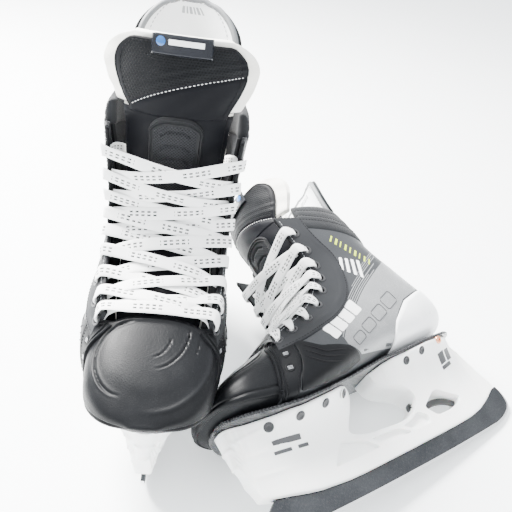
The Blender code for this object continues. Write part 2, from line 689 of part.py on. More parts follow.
def lace_end(k, inner):
    """The end of the lace, tucked back into the boot behind the top eyelet."""
    centre, normal, out, _ = eyelet_frame(k, inner)
    wide = np.array((0, 0, 1.0))
    steps = [(-4, -6, 0), (-13, -11.5, -2), (-24, -17, -8), (-31, -21, -20), (-34, -23, -34)]
    return [(centre + out * a + normal * b + np.array((0, 0, c)), wide if c > -15 else out, LACE_WIDE, LACE_THICK)
            for a, b, c in steps]


def half_lace(inner):
    """From the bottom bar into the lowest eyelet of one side, then criss-cross up to the top."""
    stations = []
    for k in range(EYELETS):
        stations += into_eyelet(k, inner)
        if k == EYELETS - 1:
            return stations[:-1] + lace_end(k, inner)
        stations += across(k, inner, 1 if inner == (k % 2 == 0) else -1)
        inner = not inner
    return stations


def lace(name, work):
    bar = [over_tongue(eyelet_row(0), w, 1.2) for w in (-.45, 0, .45)]
    stations = half_lace(True)[::-1] + bar + half_lace(False)
    rings = []
    for k, (centre, wide, width, thick) in enumerate(stations):
        tangent = unit(stations[min(k + 1, len(stations) - 1)][0] - stations[max(k - 1, 0)][0])
        wide = unit(wide - tangent * wide.dot(tangent))
        flat = np.cross(tangent, wide)
        rings.append([centre + wide * a * width / 2 + flat * b * thick / 2
                      for a, b in ((1, 1), (1, -1), (-1, -1), (-1, 1))])
    grid = np.array(rings)
    rows = len(rings)
    faces = grid_faces(rows, 4, ring=True) + [(3, 2, 1, 0), tuple(range(4 * rows - 4, 4 * rows))]
    obj = mesh_object(name, grid.reshape(-1, 3), faces, work)
    face_out(obj)
    return obj


# ---- assembly ---------------------------------------------------------------------------------------
PIECES = [                                            # name, colour, builder, joint
    ("boot_shell", "boot_shell", boot_shell, None),
    ("toe_cap", "toe_cap", toe_cap, None),
    ("facing_outer", "facing", lambda n, w: facing(n, w, False), None),
    ("facing_inner", "facing", lambda n, w: facing(n, w, True), None),
    ("toe_band_outer", "toe_band", lambda n, w: toe_band(n, w, False), None),
    ("toe_band_inner", "toe_band", lambda n, w: toe_band(n, w, True), None),
    ("overlay_outer", "overlay", lambda n, w: overlay(n, w, False), None),
    ("overlay_inner", "overlay", lambda n, w: overlay(n, w, True), None),
    ("heel_counter", "heel_counter", heel_counter, None),
    ("outsole", "outsole", outsole, None),
    ("footbed", "footbed", footbed, None),
    ("ankle_liner", "ankle_liner", ankle_liner, None),
    ("collar_pad", "collar_pad", collar_pad, None),
    ("blade_holder", "blade_holder", blade_holder, None),
    ("heel_rivet_outer", "heel_rivet", lambda n, w: heel_rivet(n, w, False), None),
    ("heel_rivet_inner", "heel_rivet", lambda n, w: heel_rivet(n, w, True), None),
    ("runner", "runner", runner, "runner_release"),
    ("release_trigger", "release_trigger", release_trigger, "trigger_pull"),
    ("trigger_pin", "trigger_pin", trigger_pin, None),
    ("trigger_spring", "trigger_spring", trigger_spring, None),
    ("lace", "lace", lace, None),
    ("tongue_felt", "felt", tongue_felt, None),
    ("tongue_cover", "tongue_cover", tongue_cover, None),
    ("tongue_lace_pad", "tongue_lace_pad", tongue_lace_pad, None),
    ("tongue_top_felt", "felt", tongue_top_felt, "tongue_fold"),
    ("tongue_top_cover", "tongue_cover", tongue_top_cover, "tongue_fold"),
    ("tongue_tab", "tongue_tab", tongue_tab, "tongue_fold"),
    ("tendon_guard", "tendon_guard", tendon_guard, "guard_flex"),
    ("guard_lining", "guard_lining", guard_lining, "guard_flex"),
]
JOINTS = {"runner_release": FRONT_HOOK, "trigger_pull": PIVOT, "tongue_fold": FOLD_PIVOT,
          "guard_flex": GUARD_PIVOT}


def make_material(name, slot):
    colour, roughness, metallic = COLOURS[slot]
    material = bpy.data.materials.new(name)
    material.use_nodes = True
    shader = material.node_tree.nodes["Principled BSDF"]
    shader.inputs["Base Color"].default_value = (*colour, 1)
    shader.inputs["Roughness"].default_value = roughness
    shader.inputs["Metallic"].default_value = metallic
    return material


def make_pattern():
    """Every piece of one skate, as a mesh in the pattern's frame."""
    work = new_collection("cutters_and_patterns")
    pattern = {}
    for name, _, builder, _ in PIECES:
        mesh = evaluated_mesh(builder("pattern_" + name, work))
        smooth(mesh)
        pattern[name] = mesh
    for obj in list(work.objects):
        bpy.data.objects.remove(obj)
    bpy.data.collections.remove(work)
    return pattern


def empty(name, collection, parent=None, place=(0, 0, 0)):
    obj = bpy.data.objects.new(name, None)
    obj.empty_display_size = .03
    obj.parent = parent
    obj.location = place
    collection.objects.link(obj)
    return obj


def place_skate(side, matrix, pattern, collection):
    """Makes one skate's objects; each moving piece hangs on an empty that is on its joint's axis."""
    root = empty(side + "_skate", collection)
    root.matrix_world = matrix
    anchors = {None: root}
    for joint, (x, z) in JOINTS.items():
        anchors[joint] = empty(side + "_" + joint, collection, root, (x * MM, 0, z * MM))
    for name, slot, _, joint in PIECES:
        full_name = side + "_" + name
        obj = bpy.data.objects.new(full_name, pattern[name].copy())
        obj.data.name = full_name
        obj.data.materials.clear()
        obj.data.materials.append(make_material(full_name, slot))
        obj.parent = anchors[joint]
        if joint:
            x, z = JOINTS[joint]
            obj.location = (-x * MM, 0, -z * MM)
        collection.objects.link(obj)


def main():
    clear_scene()
    skates = new_collection("ice_skates")
    pattern = make_pattern()
    standing = Euler((0, 0, -math.pi / 2)).to_matrix().to_4x4() @ Matrix.Diagonal((1, -1, 1, 1))
    turn = Euler([math.radians(a) for a in LYING_TURN]).to_matrix().to_4x4()
    place_skate("right", standing, pattern, skates)
    place_skate("left", Matrix.Translation(LYING_PLACE) @ turn, pattern, skates)


main()
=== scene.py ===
"""Looks of a pair of ice hockey skates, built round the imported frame. Lengths are in millimetres until a piece is placed."""

import math
import random

import bmesh
import bpy
import numpy as np
from mathutils import Euler, Matrix, Vector
from mathutils.bvhtree import BVHTree
from mathutils.geometry import delaunay_2d_cdt


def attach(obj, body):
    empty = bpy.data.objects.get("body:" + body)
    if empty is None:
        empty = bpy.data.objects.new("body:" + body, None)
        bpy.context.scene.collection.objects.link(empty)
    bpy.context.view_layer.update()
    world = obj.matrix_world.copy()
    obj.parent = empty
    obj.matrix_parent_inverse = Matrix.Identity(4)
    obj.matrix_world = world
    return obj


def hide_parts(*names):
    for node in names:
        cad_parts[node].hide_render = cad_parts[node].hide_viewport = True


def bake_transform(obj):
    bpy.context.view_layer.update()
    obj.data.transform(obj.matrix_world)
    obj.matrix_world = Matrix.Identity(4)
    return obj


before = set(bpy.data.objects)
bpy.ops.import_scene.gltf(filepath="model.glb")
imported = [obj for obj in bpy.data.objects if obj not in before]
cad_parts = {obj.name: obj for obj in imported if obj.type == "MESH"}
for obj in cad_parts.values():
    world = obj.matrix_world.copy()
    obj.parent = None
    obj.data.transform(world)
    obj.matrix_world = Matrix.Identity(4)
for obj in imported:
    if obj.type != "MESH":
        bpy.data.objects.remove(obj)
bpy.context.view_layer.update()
random.seed(7)

# ---- the CAD's own tables, so that pieces follow its surfaces -----------------------------------------
LYING_PLACE = (0.2150, -0.1110, 0.0156)
LYING_TURN = (72.8, -6.0, -146.5)
FRONT = [(86, 131), (70, 136), (55, 141.5), (42, 149), (31, 158), (23, 168), (18, 181), (16.5, 198),
         (18, 219), (20, 240)]
BACK = [(112, 77.4), (85, 76.6), (50, 80.6), (10, 86.5), (-40, 92.6), (-93, 95.5), (-127, 112),
        (-115, 150), (-98, 184), (-89, 209)]
WIDTH_OUTER = [46, 54, 56, 52, 49, 48, 48, 48, 50, 52]
WIDTH_INNER = [45, 50, 50, 46, 45, 46, 46, 47, 49, 51]
THROAT = [36, 39, 41, 42, 43, 44, 44, 45, 46, 47]
PEAK = [.62, .66, .64, .56, .42, .36, .34, .34, .36, .38]
CORNER = [4.5, 4.6, 4.2, 3.6, 3.0, 2.6, 2.4, 2.3, 2.2, 2.2]
STATIONS = [0, .6, 1.3, 2.1, 3, 3.9, 4.8, 5.5, 6.2, 6.9, 7.6, 8.3, 9]
SOLE = [(-118, 96, 24), (-100, 95.6, 29), (-70, 94.4, 31), (-38, 92, 30), (-12, 89.4, 29.5), (10, 86.3, 30),
        (38, 81.9, 33.5), (65, 78.2, 39), (92, 76.2, 41), (116, 77.7, 38.5), (136, 82.6, 31), (149, 88.6, 19)]
TOE_FRONT = [(86.5, 131), (100, 127), (114, 122.5), (128, 117.5), (141, 112), (151, 106.5), (157.5, 102)]
TOE_BOTTOM = [(113.4, 77.9), (121, 79.4), (130, 81.9), (139, 85.4), (147, 89.3), (153, 93), (157.5, 97)]
TOE_WIDTH = [45.5, 45.5, 44.5, 41.5, 35, 26, 12]
HOLDER = [(146.5, 60, 7, 4, 1), (144, 44, 11, 5, 1), (141, 30.5, 14.5, 6, 1.1), (136, 28.7, 18.5, 6.5, 1.5),
          (116, 24.2, 31, 7, 2.4), (105, 21.5, 34, 7.5, 2.8), (92, 19, 35.5, 8, 3), (65, 16.5, 34.8, 8, 3),
          (48, 16, 32, 8, 3), (38, 16, 24, 8, 3), (27, 16, 12, 8, 3), (-5, 16.1, 12, 8, 3),
          (-14, 16.2, 20, 8, 3), (-24, 16.3, 27, 8, 3), (-45, 16.5, 30, 8, 3), (-70, 16.8, 31, 8, 3),
          (-92, 17.8, 29, 8, 3), (-106, 20, 23, 7.5, 3), (-116, 23, 14, 7, 2.5)]
TAIL = [(-121, 24.5, 86, 8.5, 6.5), (-128, 27, 75, 7, 6), (-135, 30, 54, 6, 5.5), (-142, 32.5, 38, 5, 5)]
ARCH = [(27, 95), (27, 75), (36, 65.5), (45, 54), (49.5, 46.5), (40, 42.5), (24, 40), (-8, 38), (-21, 39),
        (-33, 44), (-38.5, 50.5), (-35, 59.5), (-24, 66), (-11.5, 70.5), (-5, 76), (-3, 95)]
WINDOW = [(-42, 41), (-60, 50.5), (-66, 51), (-90, 38), (-86, 33), (-68, 30.5), (-52, 30.5)]
POCKETS = [[(75, 28), (60, 44), (36, 37), (25, 27.5)],
           [(19, 27.5), (30, 36.2), (-2, 35), (-14, 27.5)],
           [(-19, 27.5), (-8, 34.8), (-20, 36), (-32, 40.5), (-41, 34), (-40, 27.5)]]
TONGUE = [(91, 114), (73.5, 126), (55.5, 133), (41, 141.5), (29.5, 152), (21, 164.5), (16, 180),
          (13.5, 200), (14, 220), (14.5, 238), (14, 251)]
TONGUE_HALF = [30, 33, 35, 36, 36, 36, 36.5, 37, 38, 39, 41]
TONGUE_BOW = [5, 7, 8, 9, 10, 11, 12, 13, 14, 16, 18]
TOP_TONGUE = [(13.9, 254), (12.5, 268), (10.5, 281), (8.5, 291), (7, 298), (6, 303)]
TOP_HALF = [43, 50, 53.5, 51, 43, 30]
TOP_BOW = [19, 23, 24, 21, 14, 7]
TONGUE_BEND = (253, 286)                              # heights between which the tongue's top was meant to bend forward; nothing bends it
COLLAR_FRONT = [(20, 242), (19, 246), (18, 249)]
COLLAR_BACK = [(-88.5, 211), (-86, 228), (-85, 243)]
GUARD = [(-85.5, 245), (-86, 258), (-88, 272), (-90.5, 285), (-92.5, 295), (-94, 301.5), (-95, 305)]
GUARD_HALF = [40, 42, 43, 40, 32.5, 23, 11]
GUARD_BOW = [20, 22, 23, 20, 13, 6.5, 1.5]
EYELETS = 9
EYELET_D = 9.0                                        # eyelets' distance from the throat edge

PLACE = {"right": Matrix(((0, -1, 0, 0), (-1, 0, 0, 0), (0, 0, 1, 0), (0, 0, 0, 1))),
         "left": Matrix.Translation(LYING_PLACE) @ Euler([math.radians(a) for a in LYING_TURN]).to_matrix().to_4x4()}


# ---- numbers ----------------------------------------------------------------------------------------
def spline(points, us):
    """A Catmull-Rom curve through the points, at the parameters us."""
    pts = np.array(points, float)
    flat = pts.ndim == 1
    if flat:
        pts = pts[:, None]
    pad = np.vstack([2 * pts[0] - pts[1], pts, 2 * pts[-1] - pts[-2]])
    us = np.asarray(us, float)
    i = np.clip(us.astype(int), 0, len(pts) - 2)
    t = (us - i)[..., None]
    a, b, c, d = pad[i], pad[i + 1], pad[i + 2], pad[i + 3]
    value = b + .5 * t * (c - a + t * (2 * a - 5 * b + 4 * c - d + t * (3 * (b - c) + d - a)))
    return value[..., 0] if flat else value


def unit(v):
    v = np.asarray(v, float)
    return v / np.maximum(np.linalg.norm(v, axis=-1, keepdims=True), 1e-9)


def along(points, step=None, count=None, smooth=True, closed=False):
    """Points at even steps along a path, smooth or straight between its corners."""
    pts = np.array(points, float)
    if closed:
        pts = np.vstack([pts, pts[:1]])
    if smooth:
        if closed:
            wrap = np.vstack([pts[-3:-1], pts, pts[1:3]])
            fine = spline(wrap, np.linspace(2, len(pts) + 1, 24 * len(pts)))
        else:
            fine = spline(pts, np.linspace(0, len(pts) - 1, 24 * len(pts)))
    else:
        fine = pts
    run = np.concatenate([[0], np.cumsum(np.linalg.norm(np.diff(fine, axis=0), axis=1))])
    if count is None:
        count = max(int(round(run[-1] / step)), 2) + 1
    at = np.linspace(0, run[-1], count)
    if not smooth and step:
        at = np.unique(np.round(np.concatenate([at, run]), 4))
    result = np.stack([np.interp(at, run, fine[:, k]) for k in range(pts.shape[1])], axis=1)
    return result[:-1] if closed else result


def rounded(points, radius, steps=5):
    """A closed outline whose corners are rounded."""
    pts = np.array(points, float)
    out = []
    for k, p in enumerate(pts):
        a, b = pts[k - 1] - p, pts[(k + 1) % len(pts)] - p
        la, lb = np.linalg.norm(a), np.linalg.norm(b)
        cut = min(radius, la * .45, lb * .45)
        s, e = p + a / la * cut, p + b / lb * cut
        for t in np.linspace(0, 1, steps):
            out.append((1 - t) ** 2 * s + 2 * t * (1 - t) * p + t * t * e)
    return np.array(out)


def grid_normals(grid, sign=1):
    du = np.gradient(grid, axis=0)
    dv = np.gradient(grid, axis=1)
    return unit(np.cross(du, dv)) * sign


def quads(rows, cols, ring=False, base=0):
    faces = []
    for i in range(rows - 1):
        for j in range(cols if ring else cols - 1):
            k = (j + 1) % cols
            faces.append((base + i * cols + j, base + i * cols + k, base + (i + 1) * cols + k, base + (i + 1) * cols + j))
    return faces


# ---- meshes -----------------------------------------------------------------------------------------
class Form:
    """Vertices in the pattern's millimetres, faces, a material number per face, and run coordinates."""

    def __init__(self):
        self.verts, self.faces, self.slots, self.run = [], [], [], []

    def add(self, verts, faces, slot=0, run=None):
        base = len(self.verts)
        verts = np.asarray(verts, float).reshape(-1, 3)
        self.verts += [tuple(v) for v in verts]
        self.run += [tuple(r) for r in (np.asarray(run, float).reshape(-1, 3) if run is not None else verts)]
        self.faces += [tuple(base + i for i in f) for f in faces]
        self.slots += [slot] * len(faces)
        return self


def slab(outer, inner, slot=0, run=None, bulge=.3):
    """A closed sheet between two grids, with rounded edges."""
    rows, cols = outer.shape[:2]
    form = Form()
    ring = [(i, 0) for i in range(rows)] + [(rows - 1, j) for j in range(1, cols)]
    ring += [(i, cols - 1) for i in range(rows - 2, -1, -1)] + [(0, j) for j in range(cols - 2, 0, -1)]
    mids = []
    for i, j in ring:
        a = outer[i, j]
        inside = outer[min(max(i, 1), rows - 2), min(max(j, 1), cols - 2)]
        out = a - inside
        m = (outer[i, j] + inner[i, j]) / 2
        thick = np.linalg.norm(outer[i, j] - inner[i, j])
        n = np.linalg.norm(out)
        mids.append(m + (out / n * thick * bulge if n > 1e-6 else 0))
    verts = np.concatenate([outer.reshape(-1, 3), inner.reshape(-1, 3), np.array(mids)])
    size = rows * cols
    faces = quads(rows, cols) + [f[::-1] for f in quads(rows, cols, base=size)]
    count = len(ring)
    for k in range(count):
        n = (k + 1) % count
        a, b = ring[k][0] * cols + ring[k][1], ring[n][0] * cols + ring[n][1]
        faces.append((a, b, 2 * size + n, 2 * size + k))
        faces.append((2 * size + k, 2 * size + n, size + b, size + a))
    if run is not None:
        edge = [run[i, j] for i, j in ring]
        run = np.concatenate([run.reshape(-1, 3), run.reshape(-1, 3), np.array(edge)])
    return form.add(verts, faces, slot, run)


def tube(points, radius, sides=8, closed=False, flat=None, widths=None):
    """A tube along points; flat (width direction array, half width, half thickness) is not used."""
    pts = np.asarray(points, float)
    n = len(pts)
    nxt = np.roll(pts, -1, axis=0)
    prv = np.roll(pts, 1, axis=0)
    if not closed:
        nxt[-1], prv[0] = pts[-1], pts[0]
    tangent = unit(nxt - prv)
    frames = []
    ref = np.array((0, 0, 1.0)) if abs(tangent[0][2]) < .9 else np.array((1.0, 0, 0))
    for t in tangent:
        ref = unit(ref - t * ref.dot(t))
        frames.append(ref)
    normal = np.array(frames)
    side = np.cross(tangent, normal)
    angles = np.linspace(0, 2 * math.pi, sides, endpoint=False)
    radii = np.full(n, radius) if widths is None else np.asarray(widths)
    rings = np.array([[p + (a * math.cos(w) + b * math.sin(w)) * r for w in angles]
                      for p, a, b, r in zip(pts, normal, side, radii)])
    faces = quads(n, sides, ring=True)
    if closed:
        faces += [((n - 1) * sides + j, (n - 1) * sides + (j + 1) % sides, (j + 1) % sides, j) for j in range(sides)]
    else:
        faces += [tuple(range(sides))[::-1], tuple(range((n - 1) * sides, n * sides))]
    return rings.reshape(-1, 3), faces


def facing_out(mesh):
    bm = bmesh.new()
    bm.from_mesh(mesh)
    bmesh.ops.recalc_face_normals(bm, faces=bm.faces)
    bm.to_mesh(mesh)
    bm.free()


def pattern_mesh(name, form, materials):
    mesh = bpy.data.meshes.new(name)
    mesh.from_pydata(form.verts, [], form.faces)
    for material in materials:
        mesh.materials.append(material)
    mesh.polygons.foreach_set("material_index", form.slots)
    run = mesh.attributes.new("run", "FLOAT_VECTOR", "POINT")
    run.data.foreach_set("vector", np.array(form.run, np.float32).ravel())
    mesh.validate()
    return mesh


def apply_modifiers(obj):
    graph = bpy.context.evaluated_depsgraph_get()
    bpy.context.view_layer.update()
    mesh = bpy.data.meshes.new_from_object(obj.evaluated_get(graph), preserve_all_data_layers=True, depsgraph=graph)
    old = obj.data
    obj.modifiers.clear()
    obj.data = mesh
    bpy.data.meshes.remove(old)


def inflate(obj, held, pressure=5.0, frames=14, cap=2.5):
    """Blows a padded piece up as cloth, with its held vertices still, and moves no point more than cap."""
    mesh = obj.data
    count = len(mesh.vertices)
    rest = np.empty(count * 3, np.float64)
    mesh.vertices.foreach_get("co", rest)
    rest = rest.reshape(-1, 3)
    mesh.vertices.foreach_set("co", (rest * .01).ravel())
    group = obj.vertex_groups.new(name="held")
    group.add([int(i) for i in np.nonzero(held)[0]], 1.0, "REPLACE")
    mod = obj.modifiers.new("cloth", "CLOTH")
    mod.settings.quality = 6
    mod.settings.mass = .3
    mod.settings.tension_stiffness = mod.settings.compression_stiffness = 12
    mod.settings.shear_stiffness = 6
    mod.settings.bending_stiffness = .6
    mod.settings.vertex_group_mass = "held"
    mod.settings.use_pressure = True
    mod.settings.uniform_pressure_force = pressure
    mod.settings.effector_weights.gravity = 0
    mod.point_cache.frame_start, mod.point_cache.frame_end = 1, frames
    for number in range(1, frames + 1):
        bpy.context.scene.frame_set(number)
    shape = obj.evaluated_get(bpy.context.evaluated_depsgraph_get()).to_mesh()
    after = np.empty(count * 3, np.float64)
    shape.vertices.foreach_get("co", after)
    move = after.reshape(-1, 3) * 100 - rest
    obj.modifiers.clear()
    obj.vertex_groups.clear()
    size = np.linalg.norm(move, axis=1, keepdims=True)
    move *= np.minimum(1, cap / np.maximum(size, 1e-6))
    mesh.vertices.foreach_set("co", (rest + move).ravel())
    mesh.update()
    bpy.context.scene.frame_set(1)


def emit(name, form, materials, body="boot", replaces=(), sharp=42, fix=True, cutters=None,
         bevel=None, subdivide=0, held=None, cap=2.5, pressure=5.0, bend=None):
    """Places a piece on both skates: the right one is the pattern's mirror image. When bend, a pair of heights, is
    given, the piece's placing is baked into its mesh and it gets no body; the heights themselves are not used."""
    materials = materials if isinstance(materials, (list, tuple)) else [materials]
    mesh = pattern_mesh(name, form, materials)
    if fix:
        facing_out(mesh)
    temp = bpy.data.objects.new(name, mesh)
    bpy.context.scene.collection.objects.link(temp)
    if cutters is not None:
        hole = bpy.data.objects.new(name + "_cut", pattern_mesh(name + "_cut", cutters, []))
        facing_out(hole.data)
        bpy.context.scene.collection.objects.link(hole)
        cut = temp.modifiers.new("cut", "BOOLEAN")
        cut.operation, cut.solver, cut.object = "DIFFERENCE", "EXACT", hole
        cut.use_self = False
        apply_modifiers(temp)
        bpy.data.objects.remove(hole)
    if bevel:
        mod = temp.modifiers.new("bevel", "BEVEL")
        mod.width, mod.segments, mod.limit_method, mod.angle_limit = bevel, 2, "ANGLE", math.radians(35)
        apply_modifiers(temp)
    if held is not None:
        inflate(temp, held, pressure, cap=cap)
    if subdivide:
        mod = temp.modifiers.new("sub", "SUBSURF")
        mod.levels = mod.render_levels = subdivide
        apply_modifiers(temp)
    pattern = temp.data
    bpy.data.objects.remove(temp)
    placed = []
    for skate, matrix in PLACE.items():
        copy = pattern.copy()
        copy.name = f"{skate}_{name}"
        count = len(copy.vertices)
        spots = np.empty(count * 3, np.float32)
        copy.vertices.foreach_get("co", spots)
        pat = copy.attributes.new("pat", "FLOAT_VECTOR", "POINT")
        pat.data.foreach_set("vector", spots)
        copy.transform(Matrix.Scale(.001, 4))
        copy.transform(matrix)
        if skate == "right":
            copy.flip_normals()
        copy.shade_smooth()
        copy.set_sharp_from_angle(angle=math.radians(sharp))
        obj = bpy.data.objects.new(f"{skate}_{name}", copy)
        bpy.context.scene.collection.objects.link(obj)
        if bend:
            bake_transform(obj)
        else:
            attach(obj, f"{skate}_{body}")
        if replaces:
            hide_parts(*[f"{skate}_{node}" for node in replaces])
        placed.append(obj)
    bpy.data.meshes.remove(pattern)
    return placed


# ---- materials --------------------------------------------------------------------------------------
class Nodes:
    """A material being made. pat and run are the node outputs that its patterns read."""

    def __init__(self, name, colour, rough, metallic=0.0, **more):
        self.material = bpy.data.materials.new(name)
        self.material.use_nodes = True
        self.tree = self.material.node_tree
        self.shader = self.tree.nodes["Principled BSDF"]
        self.shader.inputs["Base Color"].default_value = (*colour, 1)
        self.shader.inputs["Roughness"].default_value = rough
        self.shader.inputs["Metallic"].default_value = metallic
        for key, value in more.items():
            self.shader.inputs[key.replace("_", " ")].default_value = value
        self.colour = colour
        self.rough = rough
        self.height = None
        read = self.tree.nodes.new("ShaderNodeAttribute")
        read.attribute_name = "pat"
        self.pat = read.outputs["Vector"]
        read = self.tree.nodes.new("ShaderNodeAttribute")
        read.attribute_name = "run"
        self.run = read.outputs["Vector"]

    def node(self, kind, **values):
        made = self.tree.nodes.new("ShaderNode" + kind)
        for key, value in values.items():
            setattr(made, key, value)
        return made

    def math(self, operation, a, b=0.0, c=0.0, clamp=False):
        made = self.node("Math", operation=operation, use_clamp=clamp)
        for socket, value in zip(made.inputs, (a, b, c)):
            self.put(socket, value)
        return made.outputs[0]

    def put(self, socket, value):
        if isinstance(value, (int, float)):
            socket.default_value = value
        elif isinstance(value, tuple):
            socket.default_value = value
        else:
            self.tree.links.new(value, socket)

    def scaled(self, coords, factors):
        made = self.node("Mapping")
        made.inputs["Scale"].default_value = factors
        self.tree.links.new(coords, made.inputs["Vector"])
        return made.outputs[0]

    def noise(self, coords, scale, detail=2.0, rough=.5):
        made = self.node("TexNoise")
        made.inputs["Scale"].default_value = scale
        made.inputs["Detail"].default_value = detail
        made.inputs["Roughness"].default_value = rough
        self.tree.links.new(coords, made.inputs["Vector"])
        return made.outputs["Fac"]

    def voronoi(self, coords, scale, feature="F1", randomness=1.0):
        made = self.node("TexVoronoi", feature=feature)
        made.inputs["Scale"].default_value = scale
        made.inputs["Randomness"].default_value = randomness
        self.tree.links.new(coords, made.inputs["Vector"])
        return made.outputs["Distance"]

    def ramp(self, value, low, high, a=0.0, b=1.0):
        made = self.node("MapRange", clamp=True)
        for key, number in (("From Min", low), ("From Max", high), ("To Min", a), ("To Max", b)):
            made.inputs[key].default_value = number
        self.put(made.inputs["Value"], value)
        return made.outputs["Result"]

    def axis(self, coords, name):
        made = self.node("SeparateXYZ")
        self.tree.links.new(coords, made.inputs[0])
        return made.outputs[name]

    def mix(self, factor, colour, under=None):
        """Lays a colour over what the base colour is so far."""
        made = self.node("Mix", data_type="RGBA")
        self.put(made.inputs[0], factor)
        socket = self.shader.inputs["Base Color"]
        if socket.is_linked:
            self.tree.links.new(socket.links[0].from_socket, made.inputs[6])
        else:
            made.inputs[6].default_value = socket.default_value
        made.inputs[7].default_value = (*colour, 1)
        self.tree.links.new(made.outputs[2], socket)
        return self

    def roughness(self, value, low, high):
        self.put(self.shader.inputs["Roughness"], self.ramp(value, 0, 1, low, high))
        return self

    def bump(self, height, strength, distance=.0004):
        made = self.node("Bump")
        made.inputs["Strength"].default_value = strength
        made.inputs["Distance"].default_value = distance
        self.tree.links.new(height, made.inputs["Height"])
        socket = self.shader.inputs["Normal"]
        if socket.is_linked:
            self.tree.links.new(socket.links[0].from_socket, made.inputs["Normal"])
        self.tree.links.new(made.outputs[0], socket)
        return self


def grained(name, colour, light, rough, size=1.0, strength=.35, blotch=.03, metallic=0.0, spots=None, **more):
    """A surface with fine grain, faint larger blotches and uneven gloss. size is grains per millimetre."""
    m = Nodes(name, colour, rough, metallic, **more)
    fine = m.noise(m.pat, size, 3, .6)
    broad = m.noise(m.pat, blotch, 3)
    m.mix(m.ramp(broad, .35, .7, 0, .55), light)
    m.mix(m.ramp(fine, .45, .75, 0, .3), light)
    if spots:
        m.mix(m.ramp(m.noise(m.pat, 2.6, 1), .63, .7, 0, .8), spots)
    m.roughness(m.noise(m.pat, blotch * 4, 2), rough - .08, rough + .1)
    m.bump(fine, strength, .0003)
    return m.material


def woven(name, colour, light, rough, step=.8, strength=.5, **more):
    """A fabric: two crossed sets of ribs step millimetres apart, with painted shade in the hollows."""
    m = Nodes(name, colour, rough, **more)
    u = m.math("SINE", m.math("MULTIPLY", m.axis(m.run, "X"), 2 * math.pi / step))
    v = m.math("SINE", m.math("MULTIPLY", m.axis(m.run, "Y"), 2 * math.pi / step))
    cloth = m.math("ADD", m.math("MULTIPLY", u, v), 1.0)
    m.mix(m.ramp(m.noise(m.pat, .05, 3), .35, .7, 0, .5), light)
    # painted shade: the colour drops to half in the hollows between the ribs, following the bump's height
    m.mix(m.ramp(cloth, 0, 2, .25, 0), tuple(c * .5 for c in colour))
    m.roughness(m.noise(m.pat, .2, 2), rough - .06, rough + .06)
    m.bump(cloth, strength, .0002)
    m.bump(m.noise(m.pat, 3, 2), .2, .0002)
    return m.material


BLACK_CAP = grained("toe_cap_black", (.0030, .0033, .0040), (.005, .0054, .0065), .40, 1.1, .55, spots=(.014, .015, .016),
                    Specular_IOR_Level=.12)
BAND = grained("band_black", (.0035, .0038, .0045), (.007, .0074, .0085), .42, 1.6, .30, Specular_IOR_Level=.08)
CHARCOAL = grained("quarter_charcoal", (.024, .0255, .028), (.034, .036, .039), .42, 2.4, .18, spots=(.045, .047, .050),
                   Specular_IOR_Level=.2)
FACING = grained("facing_charcoal", (.013, .0137, .0155), (.020, .021, .023), .56, 2.2, .30, Specular_IOR_Level=.16)
SILVER = grained("quarter_silver", (.19, .195, .20), (.28, .285, .29), .36, 2.6, .25, metallic=.4, spots=(.50, .51, .52))
HEEL_WHITE = grained("heel_white", (.89, .90, .91), (.94, .945, .95), .30, 1.2, .12)
PRINT_WHITE = grained("print_white", (.86, .87, .87), (.80, .81, .81), .38, 1.5, .12)
PRINT_GREY = grained("print_grey", (.25, .26, .27), (.33, .34, .35), .42, 1.5, .12)
PRINT_DARK = grained("print_dark", (.03, .031, .034), (.05, .052, .056), .42, 1.5, .12)
PRINT_LIME = grained("print_lime", (.42, .52, .015), (.50, .60, .03), .42, 1.5, .12)
PLASTIC = grained("holder_white", (.90, .905, .89), (.94, .945, .935), .33, .9, .06, Subsurface_Weight=.08,
                  Subsurface_Scale=.004)
DARK_METAL = grained("dark_metal", (.030, .030, .032), (.055, .055, .058), .34, 2.0, .15, metallic=.5)
COPPER = grained("copper", (.80, .36, .20), (.88, .50, .34), .24, 1.6, .10, metallic=1)
TRIGGER = grained("trigger_black", (.008, .0085, .009), (.015, .016, .017), .42, 1.6, .2)
RUBBER = grained("lace_pad_rubber", (.008, .0085, .0095), (.010, .0105, .0115), .56, 1.4, .35, Specular_IOR_Level=.13)
THREAD = grained("thread_dark", (.006, .006, .007), (.012, .012, .013), .7, 4, .4, Specular_IOR_Level=.1)
THREAD_GREY = grained("thread_grey", (.30, .31, .32), (.40, .41, .42), .7, 4, .4)
THREAD_WHITE = grained("thread_white", (.80, .80, .79), (.70, .70, .69), .7, 4, .4)
TAB = grained("tab_black", (.004, .005, .008), (.008, .009, .013), .16, .6, .04, Coat_Weight=.3, Specular_IOR_Level=.3)
BLUE = grained("tab_blue", (.006, .075, .26), (.01, .11, .34), .2, .8, .04, Coat_Weight=.3)
TONGUE_DARK = grained("tongue_dark", (.0028, .003, .0042), (.005, .0056, .0075), .50, 1.3, .28, Specular_IOR_Level=.08)
PIPING = grained("piping_grey", (.11, .115, .12), (.17, .175, .18), .45, 2, .2)
LINER = woven("liner_knit", (.012, .0125, .014), (.021, .022, .024), .9, 1.4, .5, Specular_IOR_Level=.15)
COLLAR = woven("collar_cloth", (.014, .0147, .0165), (.023, .0245, .027), .74, 1.1, .45, Sheen_Weight=.05,
               Specular_IOR_Level=.15)
FOOTBED = woven("footbed_cloth", (.02, .0205, .022), (.034, .035, .038), .85, 1.6, .5)
GUARD_DARK = grained("guard_dark", (.011, .0117, .0135), (.020, .021, .023), .42, 1.4, .22, Specular_IOR_Level=.2)
GUARD_CLOTH = grained("guard_cloth", (.86, .87, .88), (.93, .935, .94), .34, .8, .14, Sheen_Weight=.2)
GUARD_GREY = grained("guard_grey", (.12, .125, .13), (.20, .21, .22), .55, 2.2, .3)


